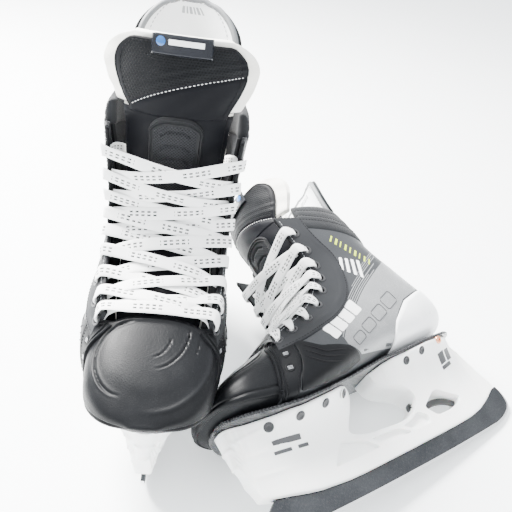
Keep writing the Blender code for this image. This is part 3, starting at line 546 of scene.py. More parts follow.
def carbon_material():
    """Twill of carbon fibre: short floats that swap direction, under a clear coat."""
    m = Nodes("outsole_carbon", (.007, .0074, .0085), .28, Coat_Weight=.2, Specular_IOR_Level=.3)
    turned = m.scaled(m.pat, (1, 1, 1))
    x, y = m.axis(turned, "X"), m.axis(turned, "Y")
    diagonal = m.math("SINE", m.math("MULTIPLY", m.math("ADD", x, m.math("MULTIPLY", y, .5)), 2 * math.pi / 4))
    across = m.math("SINE", m.math("MULTIPLY", y, 2 * math.pi / 2))
    weave = m.ramp(m.math("MULTIPLY", diagonal, across), -.3, .3)
    m.mix(m.math("MULTIPLY", weave, .55), (.032, .033, .036))
    m.mix(m.ramp(m.noise(m.pat, .04, 3), .4, .7, 0, .3), (.024, .025, .027))
    m.roughness(weave, .24, .36)
    m.bump(weave, .15, .0002)
    return m.material


def steel_material():
    """Ground steel: fine grain across the blade, faint long wear, and a darker satin face."""
    m = Nodes("runner_steel", (.038, .040, .044), .32, 1.0)
    fine = m.noise(m.scaled(m.pat, (2.6, 2.6, .5)), 1.0, 3, .6)
    slow = m.noise(m.pat, .03, 3)
    m.mix(m.ramp(slow, .35, .65, 0, .6), (.070, .073, .078))
    m.mix(m.ramp(fine, .5, .8, 0, .45), (.17, .175, .18))
    m.roughness(fine, .28, .46)
    m.bump(fine, .12, .0002)
    return m.material


def edge_material():
    m = Nodes("runner_edge", (.74, .745, .75), .2, 1.0)
    fine = m.noise(m.scaled(m.pat, (.3, 3, 3)), 1.4, 2)
    m.mix(m.ramp(fine, .5, .8, 0, .4), (.90, .90, .90))
    m.roughness(fine, .14, .3)
    m.bump(fine, .08, .0002)
    return m.material


def felt_material():
    """Thick needled felt: tangled short fibres and a soft nap."""
    m = Nodes("tongue_felt", (.84, .82, .76), .95, Sheen_Weight=.5, Sheen_Roughness=.6)
    fibre = m.noise(m.scaled(m.pat, (1, 1, 1)), 1.6, 6, .75)
    broad = m.noise(m.pat, .06, 3)
    m.mix(m.ramp(broad, .35, .7, 0, .6), (.90, .89, .84))
    m.mix(m.ramp(fibre, .35, .55, .35, 0), (.70, .68, .60))
    m.roughness(fibre, .88, 1.0)
    m.bump(fibre, .6, .0006)
    m.bump(m.noise(m.pat, .5, 3), .35, .0008)
    return m.material


def lace_material():
    """Flat waxed braid: herringbone ribs with painted shade in their troughs, and groups of paired black ticks along
    the middle.
    """
    m = Nodes("lace_white", (.93, .93, .925), .68, Sheen_Weight=.2)
    u, v = m.axis(m.run, "X"), m.axis(m.run, "Y")
    slant = m.math("ADD", u, m.math("MULTIPLY", m.math("ABSOLUTE", v), .9))
    rib = m.math("SINE", m.math("MULTIPLY", slant, 2 * math.pi / 1.05))
    cord = m.math("SINE", m.math("MULTIPLY", v, 2 * math.pi / .9))
    m.mix(m.ramp(m.noise(m.pat, .12, 3), .4, .7, 0, .5), (.88, .88, .875))
    # painted shade: darker grey in the troughs between the herringbone ribs
    m.mix(m.ramp(rib, -1, -.2, .22, 0), (.64, .64, .64))
    tick = m.math("LESS_THAN", m.math("FRACT", m.math("MULTIPLY", u, 1 / 4.4)), .56)
    row = m.math("LESS_THAN", m.math("ABSOLUTE", m.math("SUBTRACT", m.math("ABSOLUTE", v), 1.2)), .62)
    group = m.math("LESS_THAN", m.math("FRACT", m.math("MULTIPLY", u, 1 / 34.0)), .62)
    ragged = m.math("GREATER_THAN", m.noise(m.run, 1.7, 2), .36)
    mark = m.math("MULTIPLY", m.math("MULTIPLY", tick, row), m.math("MULTIPLY", group, ragged))
    m.mix(mark, (.003, .003, .004))
    m.roughness(m.noise(m.pat, .5, 2), .60, .78)
    m.bump(rib, .35, .00025)
    m.bump(cord, .2, .0002)
    return m.material


def perforated_material():
    """The tongue's upper panel: rows of small round holes set in a triangular pattern; the holes are not cut but
    painted near black as shade inside them, with a bump.
    """
    m = Nodes("tongue_perforated", (.0055, .006, .007), .46, Specular_IOR_Level=.08)
    u = m.math("MULTIPLY", m.axis(m.run, "X"), 1 / 2.1)
    v = m.math("MULTIPLY", m.axis(m.run, "Y"), 1 / 1.8)
    shift = m.math("MULTIPLY", m.math("FLOORED_MODULO", m.math("FLOOR", v), 2.0), .5)
    du = m.math("SUBTRACT", m.math("FRACT", m.math("ADD", u, shift)), .5)
    dv = m.math("MULTIPLY", m.math("SUBTRACT", m.math("FRACT", v), .5), 1.8 / 2.1)
    distance = m.math("SQRT", m.math("ADD", m.math("MULTIPLY", du, du), m.math("MULTIPLY", dv, dv)))
    hole = m.ramp(distance, .16, .24, 1, 0)
    m.mix(m.ramp(m.noise(m.pat, .05, 3), .4, .7, 0, .5), (.009, .0096, .011))
    # painted shade: each hole is painted near black for the shade inside it
    m.mix(hole, (.002, .002, .002))
    m.roughness(m.noise(m.pat, .3, 2), .42, .56)
    m.bump(m.ramp(distance, .16, .3), .8, .0005)
    m.bump(m.noise(m.pat, 1.8, 3), .25, .0003)
    return m.material


def pad_material():
    """Fine diagonal mesh of the lace pad's inner field."""
    m = Nodes("lace_pad_mesh", (.004, .0043, .005), .6, Specular_IOR_Level=.13)
    u, v = m.axis(m.run, "X"), m.axis(m.run, "Y")
    a = m.math("SINE", m.math("MULTIPLY", m.math("ADD", u, v), 2 * math.pi / 2.2))
    b = m.math("SINE", m.math("MULTIPLY", m.math("SUBTRACT", u, v), 2 * math.pi / 2.2))
    net = m.math("MAXIMUM", a, b)
    m.mix(m.ramp(net, .2, .9, 0, .8), (.020, .021, .024))
    m.roughness(m.noise(m.pat, .4, 2), .5, .68)
    m.bump(net, .5, .0004)
    return m.material


CARBON, STEEL, EDGE = carbon_material(), steel_material(), edge_material()
FELT, LACE, PERFORATED, MESH = felt_material(), lace_material(), perforated_material(), pad_material()


# ---- boot surface -----------------------------------------------------------------------------------
def boot(v, q, side):
    """The boot's surface: v runs from the toe seam (0) up to the collar (9), q from the throat edge (0)
    over the facing (3) and the widest line (4) to the middle of the sole or heel (9)."""
    v, q = np.broadcast_arrays(np.asarray(v, float), np.asarray(q, float))
    front, back = spline(FRONT, v), spline(BACK, v)
    width = spline(WIDTH_OUTER if side > 0 else WIDTH_INNER, v)
    throat, peak, corner = (spline(table, v) for table in (THROAT, PEAK, CORNER))
    length = np.linalg.norm(back - front, axis=-1)
    near = np.interp(q, [0, 1, 2, 3], [0, 9, 18, 26])
    near = np.where(q > 3, 26 + (q - 3) * (peak * length - 26), near) / length
    y = throat + (width - throat) * np.sin(math.pi / 2 * near / peak)
    angle = np.clip((q - 4) / 5, 0, 1) * math.pi / 2
    c, s = np.maximum(np.cos(angle), 1e-9), np.maximum(np.sin(angle), 1e-9)
    reach = (c ** corner + s ** corner) ** (-1 / corner)
    far = peak + (1 - peak) * s * reach
    share = np.where(q <= 4, near, far)
    y = np.where(q <= 4, y, width * c * reach)
    x, z = np.moveaxis(front + (back - front) * share[..., None], -1, 0)
    return np.stack([x, side * y, z], axis=-1)


def boot_rows(vs, q0, q1, step=.125):
    """A grid round the boot from q0 on the outer side to q1 on the inner side."""
    outer = np.arange(q0, 9 + 1e-6, step)
    inner = np.arange(9 - step, q1 - 1e-6, -step)
    vs = np.asarray(vs, float)[:, None]
    return np.concatenate([boot(vs, outer[None], 1), boot(vs, inner[None], -1)], axis=1)


def boot_side(vs, qs, side):
    return boot(np.asarray(vs, float)[:, None], np.asarray(qs, float)[None], side)


def raise_grid(grid, height, sign=None):
    """The grid moved out by height (a number, or one number per point)."""
    n = grid_normals(grid)
    if sign is None:
        sign = 1
    return grid + n * sign * (height[..., None] if isinstance(height, np.ndarray) else height)


def outward_sign(grid, centre):
    n = grid_normals(grid)
    i, j = grid.shape[0] // 2, grid.shape[1] // 2
    return 1 if np.dot(n[i, j], grid[i, j] - np.asarray(centre, float)) > 0 else -1


def cap_surface(rings=60, sides=144):
    """The toe cap's dome, from its rear edge to the tip."""
    ts = np.linspace(0, 6, rings)
    front, bottom, width = spline(TOE_FRONT, ts), spline(TOE_BOTTOM, ts), spline(TOE_WIDTH, ts)
    angle = np.linspace(0, 2 * math.pi, sides, endpoint=False)
    c, s = np.cos(angle), np.sin(angle)
    power = np.where(c > 0, 2.5, 3.6)
    reach = (np.abs(c) ** power + np.abs(s) ** power) ** (-1 / power)
    share = .55 - np.where(c > 0, .55, .45) * c * reach
    grid = []
    for top, low, w in zip(front, bottom, width):
        xz = top + (low - top) * share[:, None]
        grid.append(np.stack([xz[:, 0], -w * s * reach, xz[:, 1]], axis=1))
    grid = np.array(grid)
    middle = grid[-1].mean(axis=0)
    tip = middle + (2.2, 0, 0)
    extra = []
    for k in (.25, .5, .75, .92, .99):
        ring = grid[-1] * (1 - k) + middle * k
        ring[:, 0] = grid[-1][:, 0] + (tip[0] - grid[-1][:, 0]) * math.sqrt(1 - (1 - k) ** 2)
        extra.append(ring)
    return np.vstack([grid, np.array(extra)]), tip


def tree_of(grids, ring=False):
    verts, faces = [], []
    for grid in grids:
        base = len(verts)
        rows, cols = grid.shape[:2]
        verts += [tuple(p) for p in grid.reshape(-1, 3)]
        faces += quads(rows, cols, ring=ring, base=base)
    return BVHTree.FromPolygons(verts, faces)


FINE_V = np.linspace(0, 9, 91)
BOOT_OUT = boot_rows(FINE_V, 0, 0)
SIGN = outward_sign(BOOT_OUT[:, :20], (20, 0, 120))
CAP, CAP_TIP = cap_surface()
TREES = {}
for side in (1, -1):
    half = boot_side(FINE_V, np.arange(0, 9.01, .125), side)
    TREES[side] = tree_of([half])
CAP_TREE = tree_of([CAP], ring=True)


def drape(x, z, side, height=0.0):
    """The point of the boot's flank or of the toe cap at (x, z) in side view, and its outward normal."""
    best = None
    for tree in (TREES[side], CAP_TREE):
        hit, normal, _, _ = tree.ray_cast(Vector((x, 200 * side, z)), Vector((0, -side, 0)))
        if hit is not None and (best is None or hit.y * side > best[0].y * side):
            best = (hit, normal)
    if best is None:
        hit, normal, _, _ = TREES[side].find_nearest(Vector((x, 45 * side, z)))
        best = (hit, normal)
    hit, normal = best
    if normal.y * side < 0:
        normal = -normal
    return np.array(hit) + np.array(normal) * height, np.array(normal)


def smooth_normals(points, normals, closed=False, passes=2):
    normals = np.array(normals)
    for _ in range(passes):
        nxt, prv = np.roll(normals, -1, axis=0), np.roll(normals, 1, axis=0)
        if not closed:
            nxt[-1], prv[0] = normals[-1], normals[0]
        normals = unit(normals * 2 + nxt + prv)
    return normals


def inset(outline, distance):
    nxt, prv = np.roll(outline, -1, axis=0), np.roll(outline, 1, axis=0)
    tangent = unit(nxt - prv)
    area = np.sum(outline[:, 0] * nxt[:, 1] - nxt[:, 0] * outline[:, 1])
    inward = np.stack([-tangent[:, 1], tangent[:, 0]], axis=1) * (1 if area > 0 else -1)
    return outline + inward * distance


def panel(form, outline, side, thick=1.0, base=0.0, spacing=2.5, slot=0, edge=.8, lift=None):
    """A flat piece cut to the outline in side view, laid over the surface, with a rounded edge."""
    outline = np.asarray(outline, float)
    rings = [(outline, base - .4), (outline, base + thick * .55), (inset(outline, edge * .35), base + thick * .9),
             (inset(outline, edge), base + thick)]
    verts, faces = [], []
    n = len(outline)
    for ring, height in rings:
        verts += [drape(x, z, side, height)[0] for x, z in ring]
    for r in range(3):
        faces += [(r * n + k, r * n + (k + 1) % n, (r + 1) * n + (k + 1) % n, (r + 1) * n + k) for k in range(n)]
    last = rings[-1][0]
    low, high = last.min(axis=0), last.max(axis=0)
    inner = []
    for x in np.arange(low[0] + spacing / 2, high[0], spacing):
        for z in np.arange(low[1] + spacing / 2, high[1], spacing):
            inner.append((x, z))
    points = [Vector(p) for p in last]
    keep = [p for p in inner if min((last[:, 0] - p[0]) ** 2 + (last[:, 1] - p[1]) ** 2) > (spacing * .45) ** 2]
    points += [Vector(p) for p in keep]
    result = delaunay_2d_cdt(points, [], [list(range(n))], 1, 1e-4)
    new, tris = result[0], result[2]
    base_index = len(verts)
    origin = result[3]
    index = {}
    for k, p in enumerate(new):
        source = [o for o in origin[k] if o < n]
        if source:
            index[k] = 3 * n + source[0]
        else:
            index[k] = base_index + len(verts) - base_index
            verts.append(drape(p.x, p.y, side, base + thick + (lift(p.x, p.y) if lift else 0))[0])
    faces += [tuple(index[i] for i in f) for f in tris]
    form.add(verts, faces, slot)
    return form


def stitches(form, path, normals, length=2.0, gap=1.0, width=.55, height=.3, slot=0):
    """Single stitches along a path of points with normals."""
    path, normals = np.asarray(path, float), np.asarray(normals, float)
    run = np.concatenate([[0], np.cumsum(np.linalg.norm(np.diff(path, axis=0), axis=1))])
    at = gap / 2
    while at + length < run[-1]:
        spots = [at, at + length * .25, at + length * .75, at + length]
        centre = np.stack([np.interp(spots, run, path[:, k]) for k in range(3)], axis=1)
        normal = unit(np.stack([np.interp(spots, run, normals[:, k]) for k in range(3)], axis=1))
        tangent = unit(centre[-1] - centre[0])
        rings = []
        for c, n, w in zip(centre, normal, (.35, 1, 1, .35)):
            s = np.cross(tangent, n)
            rings.append([c + s * math.cos(a) * width / 2 * w + n * (math.sin(a) * height * w + height * .25)
                          for a in (0, math.pi * .25, math.pi * .5, math.pi * .75, math.pi, math.pi * 1.5)])
        form.add(np.array(rings), quads(4, 6, ring=True) + [(5, 4, 3, 2, 1, 0), (18, 19, 20, 21, 22, 23)], slot)
        at += length + gap
    return form


def draped_path(points, side, height=0.0, step=1.5, smooth=True, closed=False):
    flat = along(points, step=step, smooth=smooth, closed=closed)
    hits = [drape(x, z, side, height) for x, z in flat]
    normals = smooth_normals(None, [h[1] for h in hits], closed)
    return np.array([h[0] for h in hits]), normals


# ---- boot pieces ------------------------------------------------------------------------------------
def crossing(v, line):
    """How far along section v (a straight line in side view) it meets a line drawn in side view."""
    a, b = spline(FRONT, v), spline(BACK, v)
    d = b - a
    best = None
    for p, q in zip(line[:-1], line[1:]):
        p, e = np.array(p, float), np.array(q, float) - np.array(p, float)
        det = d[0] * -e[1] + e[0] * d[1]
        if abs(det) < 1e-9:
            continue
        r = p - a
        t = (r[0] * -e[1] + e[0] * r[1]) / det
        s = (d[0] * r[1] - d[1] * r[0]) / det
        if -1e-6 <= s <= 1 + 1e-6 and -.05 < t < 1.3 and (best is None or t < best):
            best = t
    return best


def share_to_q(v, share):
    """The q of a share of the way along section v, up to the widest line."""
    length = np.linalg.norm(spline(BACK, v) - spline(FRONT, v))
    peak = spline(PEAK, v)
    d = share * length
    if share <= peak:
        return float(np.interp(d, [0, 9, 18, 26, peak * length], [0, 1, 2, 3, 4])) if peak * length > 26 else d / 9
    corner = spline(CORNER, v)
    angles = np.linspace(0, math.pi / 2, 60)
    c, s = np.maximum(np.cos(angles), 1e-9), np.maximum(np.sin(angles), 1e-9)
    far = peak + (1 - peak) * s * (c ** corner + s ** corner) ** (-1 / corner)
    return 4 + 5 * float(np.interp(share, far, angles)) / (math.pi / 2)


def make_shell():
    grid = boot_rows(np.linspace(0, 9, 80), 2, 2)
    form = slab(grid, raise_grid(grid, -2.4, SIGN))
    emit("boot_shell", form, CHARCOAL, replaces=["boot_shell"])


D_LINE = along([(98, 114), (74, 114), (53.5, 118), (30, 125), (13, 133), (-.5, 143), (-10, 156), (-16, 172),
                (-17, 189), (-12, 203), (-8, 216), (-6, 228), (-5, 243)], step=3)
FACING_HIGH = 1.7


def eyelet_v(k):
    return float(np.interp(.35 + 10.4 * k / (EYELETS - 1), range(len(STATIONS)), STATIONS))


def surface_frame(v, q, side, height=0.0):
    """Point, normal and the direction to the throat edge on the boot at (v, q)."""
    p = boot(v, q, side)
    dv, dq = boot(v + .05, q, side) - boot(v - .05, q, side), boot(v, q - .1, side) - boot(v, q + .1, side)
    n = unit(np.cross(dv, dq))
    if n[1] * side < 0:
        n = -n
    return p + n * height, n, unit(dq), unit(dv)


def ring_form(form, centre, normal, radius, minor, count=28, sides=8, squash=.7, slot=0):
    normal = unit(normal)
    a = unit(np.cross(normal, (0, 0, 1.0) if abs(normal[2]) < .9 else (1.0, 0, 0)))
    b = np.cross(normal, a)
    rings = []
    for k in range(count):
        w = 2 * math.pi * k / count
        out = a * math.cos(w) + b * math.sin(w)
        rings.append([centre + out * (radius + minor * math.cos(t)) + normal * minor * squash * math.sin(t)
                      for t in np.linspace(0, 2 * math.pi, sides, endpoint=False)])
    grid = np.array(rings)
    faces = quads(count, sides, ring=True)
    faces += [((count - 1) * sides + j, (count - 1) * sides + (j + 1) % sides, (j + 1) % sides, j) for j in range(sides)]
    form.add(grid, faces, slot)


def turned(form, centre, normal, profile, count=28, slot=0):
    """A turned form: profile is (radius, height) pairs from the middle out; it is closed underneath."""
    normal = unit(normal)
    a = unit(np.cross(normal, (0, 0, 1.0) if abs(normal[2]) < .9 else (1.0, 0, 0)))
    b = np.cross(normal, a)
    verts, faces = [], []
    rings = [p for p in profile if p[0] > 0]
    for r, h in rings:
        for k in range(count):
            w = 2 * math.pi * k / count
            verts.append(centre + (a * math.cos(w) + b * math.sin(w)) * r + normal * h)
    faces += quads(len(rings), count, ring=True)
    first = profile[0]
    if first[0] == 0:
        verts.append(centre + normal * first[1])
        faces += [(k, (k + 1) % count, len(verts) - 1) for k in range(count)]
    last = (len(rings) - 1) * count
    faces.append(tuple(range(last, last + count)))
    form.add(np.array(verts), faces, slot)


def cylinder(form, centre, normal, radius, low, high, count=20, slot=0):
    turned(form, centre, normal, [(0, high), (radius, high), (radius, low)], count, slot)


def make_facing(side):
    word = "outer" if side > 0 else "inner"
    vs = np.linspace(0, 9, 120)
    ts = np.array([0, .012, .03, .06, .1, .16, .22, .28, .34, .4, .46, .52, .58, .64, .7, .76, .82, .88, .92, .95, .975, .99, 1])
    outer, inner, runs = [], [], []
    for v in vs:
        share = crossing(v, D_LINE)
        length = np.linalg.norm(spline(BACK, v) - spline(FRONT, v))
        share = share if share is not None else 24 / length
        wide = share * length
        row = boot(v, np.array([share_to_q(v, share * t) for t in ts]), side)
        outer.append(row)
        runs.append([(v * 28, t * wide, 0) for t in ts])
    outer, runs = np.array(outer), np.array(runs)
    wide = runs[:, -1, 1]
    edge = (1 - ts)[None] * wide[:, None]
    height = FACING_HIGH * np.clip(edge / .9, 0, 1) ** .5 - .15
    start = np.clip(np.cumsum(np.concatenate([[0], np.linalg.norm(np.diff(outer[:, 8], axis=0), axis=1)])) / .9, 0, 1)
    height *= start[:, None] ** .5
    back = np.clip(ts[None] * wide[:, None] / 1.6, 0, 1)
    height = np.where(back < 1, height * (.35 + .65 * np.sqrt(1 - (1 - back) ** 2)), height)
    ridge = np.exp(-((edge - 6.2) / .45) ** 2) * .45 + np.exp(-((edge - 7.6) / .45) ** 2) * .45
    sign = outward_sign(outer, (outer[60, 11, 0] - 20, 0, 120))
    top = raise_grid(outer, height + ridge * start[:, None], sign)
    low = raise_grid(outer, -1.5, sign)
    form = slab(top, low, run=runs, bulge=.45)
    cutter, rings = Form(), Form()
    for k in range(EYELETS):
        centre, normal, _, _ = surface_frame(eyelet_v(k), 1, side)
        cylinder(cutter, centre, normal, 3.1, -8, 8)
        ring_form(rings, centre + normal * (FACING_HIGH + .05), normal, 3.75, .85)
    emit(f"facing_{word}", form, FACING, replaces=[f"facing_{word}"], cutters=cutter)
    emit(f"eyelet_rings_{word}", rings, DARK_METAL)
    seams = Form()
    n = grid_normals(outer) * sign
    for distance, length, gap in ((2.0, 2.0, .9),):
        path, normals = [], []
        for i in range(3, len(vs)):
            t = 1 - distance / wide[i]
            path.append([np.interp(t, ts, top[i, :, c]) for c in range(3)])
            normals.append([np.interp(t, ts, n[i, :, c]) for c in range(3)])
        stitches(seams, path, normals, length, gap, .6, .3)
    path, normals = [], []
    for i in range(3, len(vs) - 1):
        t = 2.6 / wide[i]
        path.append([np.interp(t, ts, top[i, :, c]) for c in range(3)])
        normals.append([np.interp(t, ts, n[i, :, c]) for c in range(3)])
    stitches(seams, path, normals, 2.0, .9, .55, .3, slot=1)
    emit(f"facing_stitches_{word}", seams, [THREAD, THREAD_GREY])
    edge_path = raise_grid(outer, .1, sign)[:, 0]
    bind = Form().add(*tube(edge_path[::2], 1.35, 10))
    emit(f"facing_binding_{word}", bind, BAND)


BAND_FRONT = [(94, 125), (99, 121), (102.5, 115), (105, 108), (107, 100), (110, 90), (112.5, 80)]
BAND_REAR = [(96.5, 79), (94, 87), (88.5, 94), (84, 105), (81, 116), (80, 124)]


def make_bands(side):
    word = "outer" if side > 0 else "inner"
    front, rear = along(BAND_FRONT, step=1.5), along(BAND_REAR, step=1.5)
    top = along([(80, 124), (87, 126.5), (94, 125)], step=1.5)[1:-1]
    low = along([(112.5, 80), (104, 78.4), (96.5, 79)], step=1.5)[1:-1]
    outline = np.vstack([front, low, rear, top])
    form = panel(Form(), outline, side, 1.1, .1, spacing=2.2)
    emit(f"toe_band_{word}", form, BAND, replaces=[f"toe_band_{word}"])
    pipes = Form()
    for shift in (1.2, 4.6):
        line = [(x - shift, z) for x, z in BAND_FRONT]
        path, _ = draped_path(line, side, 1.25, step=2)
        pipes.add(*tube(path, 1.15 if shift < 2 else .95, 8))
    emit(f"toe_piping_{word}", pipes, BAND)
    seam = Form()
    for shift in (2.9, 6.6):
        path, normals = draped_path([(x - shift, z) for x, z in BAND_FRONT], side, 1.2)
        stitches(seam, path, normals, 1.7, .8, .5, .3)
    path, normals = draped_path([(x + 1.8, z) for x, z in BAND_REAR], side, 1.2)
    stitches(seam, path, normals, 1.7, .8, .5, .3)
    emit(f"toe_band_stitches_{word}", seam, THREAD)
    vents = Form()
    for x, z in ((91.5, 109), (96, 97)):
        hit, normal = drape(x, z, side, 1.1)
        ring_form(vents, hit, normal, 3.0, .75, squash=.9, slot=0)
        turned(vents, hit, normal, [(0, .12), (2.6, .12), (2.9, -.5)], slot=1)
        up = unit(np.array((-.25, 0, 1)) - normal * normal.dot((-.25, 0, 1)))
        across = np.cross(normal, up)
        for s in (-1.1, 0, 1.1):
            a, b = hit + up * s - across * 1.9, hit + up * s + across * 1.9
            vents.add(*tube(np.array([a, (a + b) / 2, b]) + normal * .35, .28, 6), slot=2)
    emit(f"vents_{word}", vents, [BAND, THREAD, PRINT_GREY])


OVERLAY_TOP = [(80, 118), (78, 117), (74.5, 113.5), (66, 105), (58, 102.5), (47, 100), (38, 97), (31.5, 92.5), (27, 88.5)]


def make_overlay(side):
    word = "outer" if side > 0 else "inner"
    top = along(OVERLAY_TOP, step=1.5)
    rear = along([(83.5, 105), (88, 94.5), (93.5, 86), (95, 80)], step=1.5)[::-1]
    low = along([(27, 87.5), (45, 83), (65, 80), (80, 79), (95, 79.5)], step=1.5)
    outline = np.vstack([top, low[:-1], rear, [(82, 112)]])
    form = panel(Form(), outline, side, 1.2, .15, spacing=2.2)
    emit(f"overlay_{word}", form, BAND, replaces=[f"overlay_{word}"])
    grooves = Form()
    for k, line in enumerate(([(79, 111), (72, 104), (65.5, 98.5), (58, 96.5), (46, 95), (38, 92.5)],
                              [(80.5, 106), (73, 98.5), (67.5, 94.5), (60, 92.5), (48, 91)],
                              [(82.5, 101), (76, 94.5), (70, 90.5), (62, 88.8), (52, 87.8)])):
        path, _ = draped_path(line, side, 1.36, step=1.5)
        n = len(path)
        taper = np.array([.55 * min(1, 6 * i / n, 3 * (n - 1 - i) / n) + .06 for i in range(n)])
        grooves.add(*tube(path, .5, 6, widths=taper))
    emit(f"overlay_grooves_{word}", grooves, THREAD)


HEEL_EDGE = [(-26, 84), (-33, 104), (-37, 110), (-48, 117.5), (-62, 126.5), (-85, 133), (-100, 137), (-125, 141)]


def make_heel():
    rows, vs = [], np.linspace(3.7, 6.55, 44)
    for v in vs:
        share = crossing(v, HEEL_EDGE)
        q0 = share_to_q(v, min(share if share is not None else .9, .995))
        cols = np.linspace(0, 1, 40)
        outer = boot(v, q0 + (9 - q0) * cols, 1)
        inner = boot(v, 9 - (9 - q0) * cols[1:], -1)
        rows.append(np.vstack([outer, inner]))
    grid = np.array(rows)
    sign = outward_sign(grid, (-40, 0, 120))
    run = np.cumsum(np.concatenate([[0], np.linalg.norm(np.diff(grid[20], axis=0), axis=1)]))
    rim = np.minimum(run, run[-1] - run)
    lift = 1.3 * np.clip(rim / 1.0, 0, 1) ** .5
    height = np.tile(lift, (len(vs), 1))
    height[0] *= .2
    height[-1] *= .2
    form = slab(raise_grid(grid, height, sign), raise_grid(grid, -.6, sign), bulge=.2)
    emit("heel_counter", form, HEEL_WHITE, replaces=["heel_counter"])


def make_prints():
    """Generic graphics in place of marks: silver rear field, speed lines, bars and a tick row."""
    for side, word in ((1, "outer"), (-1, "inner")):
        silver = Form()
        upper = along([(38, 104.5), (24, 116), (1, 131), (-23.5, 147), (-51, 162), (-84, 178)], step=2.5)
        lower = [(-97, 150), (-99, 139), (-86, 134.5), (-62, 128), (-48, 119), (-38, 111), (-34, 104.5), (-28, 94), (-10, 93),
                 (10, 91.5), (24, 90.5), (31, 94.5), (38, 99)]
        outline = np.vstack([upper, along(lower, step=2.5, smooth=False)])
        panel(silver, outline, side, .12, .06, spacing=2.5, edge=.25)
        emit(f"silver_field_{word}", silver, SILVER)
        lines = Form()
        for k, (offset, wide, a, b) in enumerate(((1.5, .9, 0, .78), (4.4, .7, .03, .7), (7.2, .9, .10, .86),
                                                   (10.5, .55, .2, .62), (13.0, .8, .36, .95), (16.0, .5, .5, .9),
                                                   (18.6, .8, .62, 1.0), (21.5, .5, .7, .97))):
            base = along([(38, 104.5), (24, 116), (1, 131), (-23.5, 147), (-51, 162), (-80, 177)], count=60)
            part = base[int(a * 59):int(b * 59) + 1]
            move = np.array((.53, .85)) * offset * .62
            left, right = part + move, part + move + np.array((.53, .85)) * wide
            panel(lines, np.vstack([left, right[::-1]]), side, .1, .06, spacing=4, edge=.12)
        emit(f"speed_lines_{word}", lines, SILVER)
    white, lime, grey = Form(), Form(), Form()
    line = np.array([(-5, 127.5), (47, 105)])
    for a, b in ((0, .235), (.265, .50), (.53, .765), (.795, 1.0)):
        p, q = line[0] + (line[1] - line[0]) * a, line[0] + (line[1] - line[0]) * b
        up = np.array((5.2, 12.6))
        bar = rounded([p, q, q + up, p + up], 2.4)
        panel(white, bar, 1, .14, .08, spacing=3, edge=.3)
    emit("side_bars", white, PRINT_WHITE)
    fan = Form()
    for k in range(5):
        x, z = -9 - 5.2 * k, 176 - 4.2 * k
        panel(fan, rounded([(x, z), (x - 2.6, z - 1.6), (x - 9 - k * .7, z + 9.5 + k * 2), (x - 6.5 - k * .6, z + 11 + k * 2)], .6, 3),
              1, .12, .08, spacing=4, edge=.2)
    emit("fan_bars", fan, PRINT_WHITE)
    for k in range(9):
        x, z = -22 - 3.6 * k, 203 - 3.9 * k
        wide = (1.6, 2.2, 1.2, 2.0, 1.4, 2.2, 1.2, 1.8, 1.4)[k]
        panel(lime, [(x, z), (x - wide * .7, z - wide * .75), (x - wide * .7 - 5.4, z - wide * .75 + 5.6), (x - 5.4, z + 5.6)],
              1, .12, .08, spacing=4, edge=.15)
    emit("tick_row", lime, PRINT_LIME)
    for k, (a, b) in enumerate(((0, .22), (.27, .49), (.54, .76), (.81, 1))):
        p0, p1 = np.array((-53, 128.0)), np.array((26, 96.0))
        p, q = p0 + (p1 - p0) * a, p0 + (p1 - p0) * b
        up = np.array((4.6, 11.5)) * (1 - .12 * k)
        outline = rounded([p, q, q + up, p + up], 3, 4)
        loop, _ = draped_path(outline, 1, .22, step=1.5, smooth=False, closed=True)
        grey.add(*tube(loop, .42, 6, closed=True))
    emit("outlined_bars", grey, PRINT_DARK)


# ---- toe cap ----------------------------------------------------------------------------------------
def distance_to(points, line):
    """Distance from (n, 2) points to a polyline, and how far along it the nearest point is (0 to 1)."""
    best = np.full(len(points), 1e9)
    where = np.zeros(len(points))
    count = len(line) - 1
    for k in range(count):
        a, b = line[k], line[k + 1]
        d = b - a
        t = np.clip(((points - a) @ d) / max(d @ d, 1e-9), 0, 1)
        gap = np.linalg.norm(points - (a + t[:, None] * d), axis=1)
        nearer = gap < best
        best = np.where(nearer, gap, best)
        where = np.where(nearer, (k + t) / count, where)
    return best, where


CAP_LINES = [                                         # (x, y) seen from above, half width, depth, top only
    (along([(90, 14), (94, 26), (100, 33), (110, 37.5), (122, 37), (133, 32), (140, 25), (143, 17)], step=1), .8, 1.15),
    (along([(90, -24), (100, -23), (110, -20), (118, -14.5), (123, -8), (125, -2)], step=1), .6, 1.0),
    (along([(101, -12), (108, -10), (114, -6), (117.5, 0)], step=1), .5, .8),
    (along([(97, -31), (104, -30.5), (112, -28.5)], step=1), .5, .7),
]


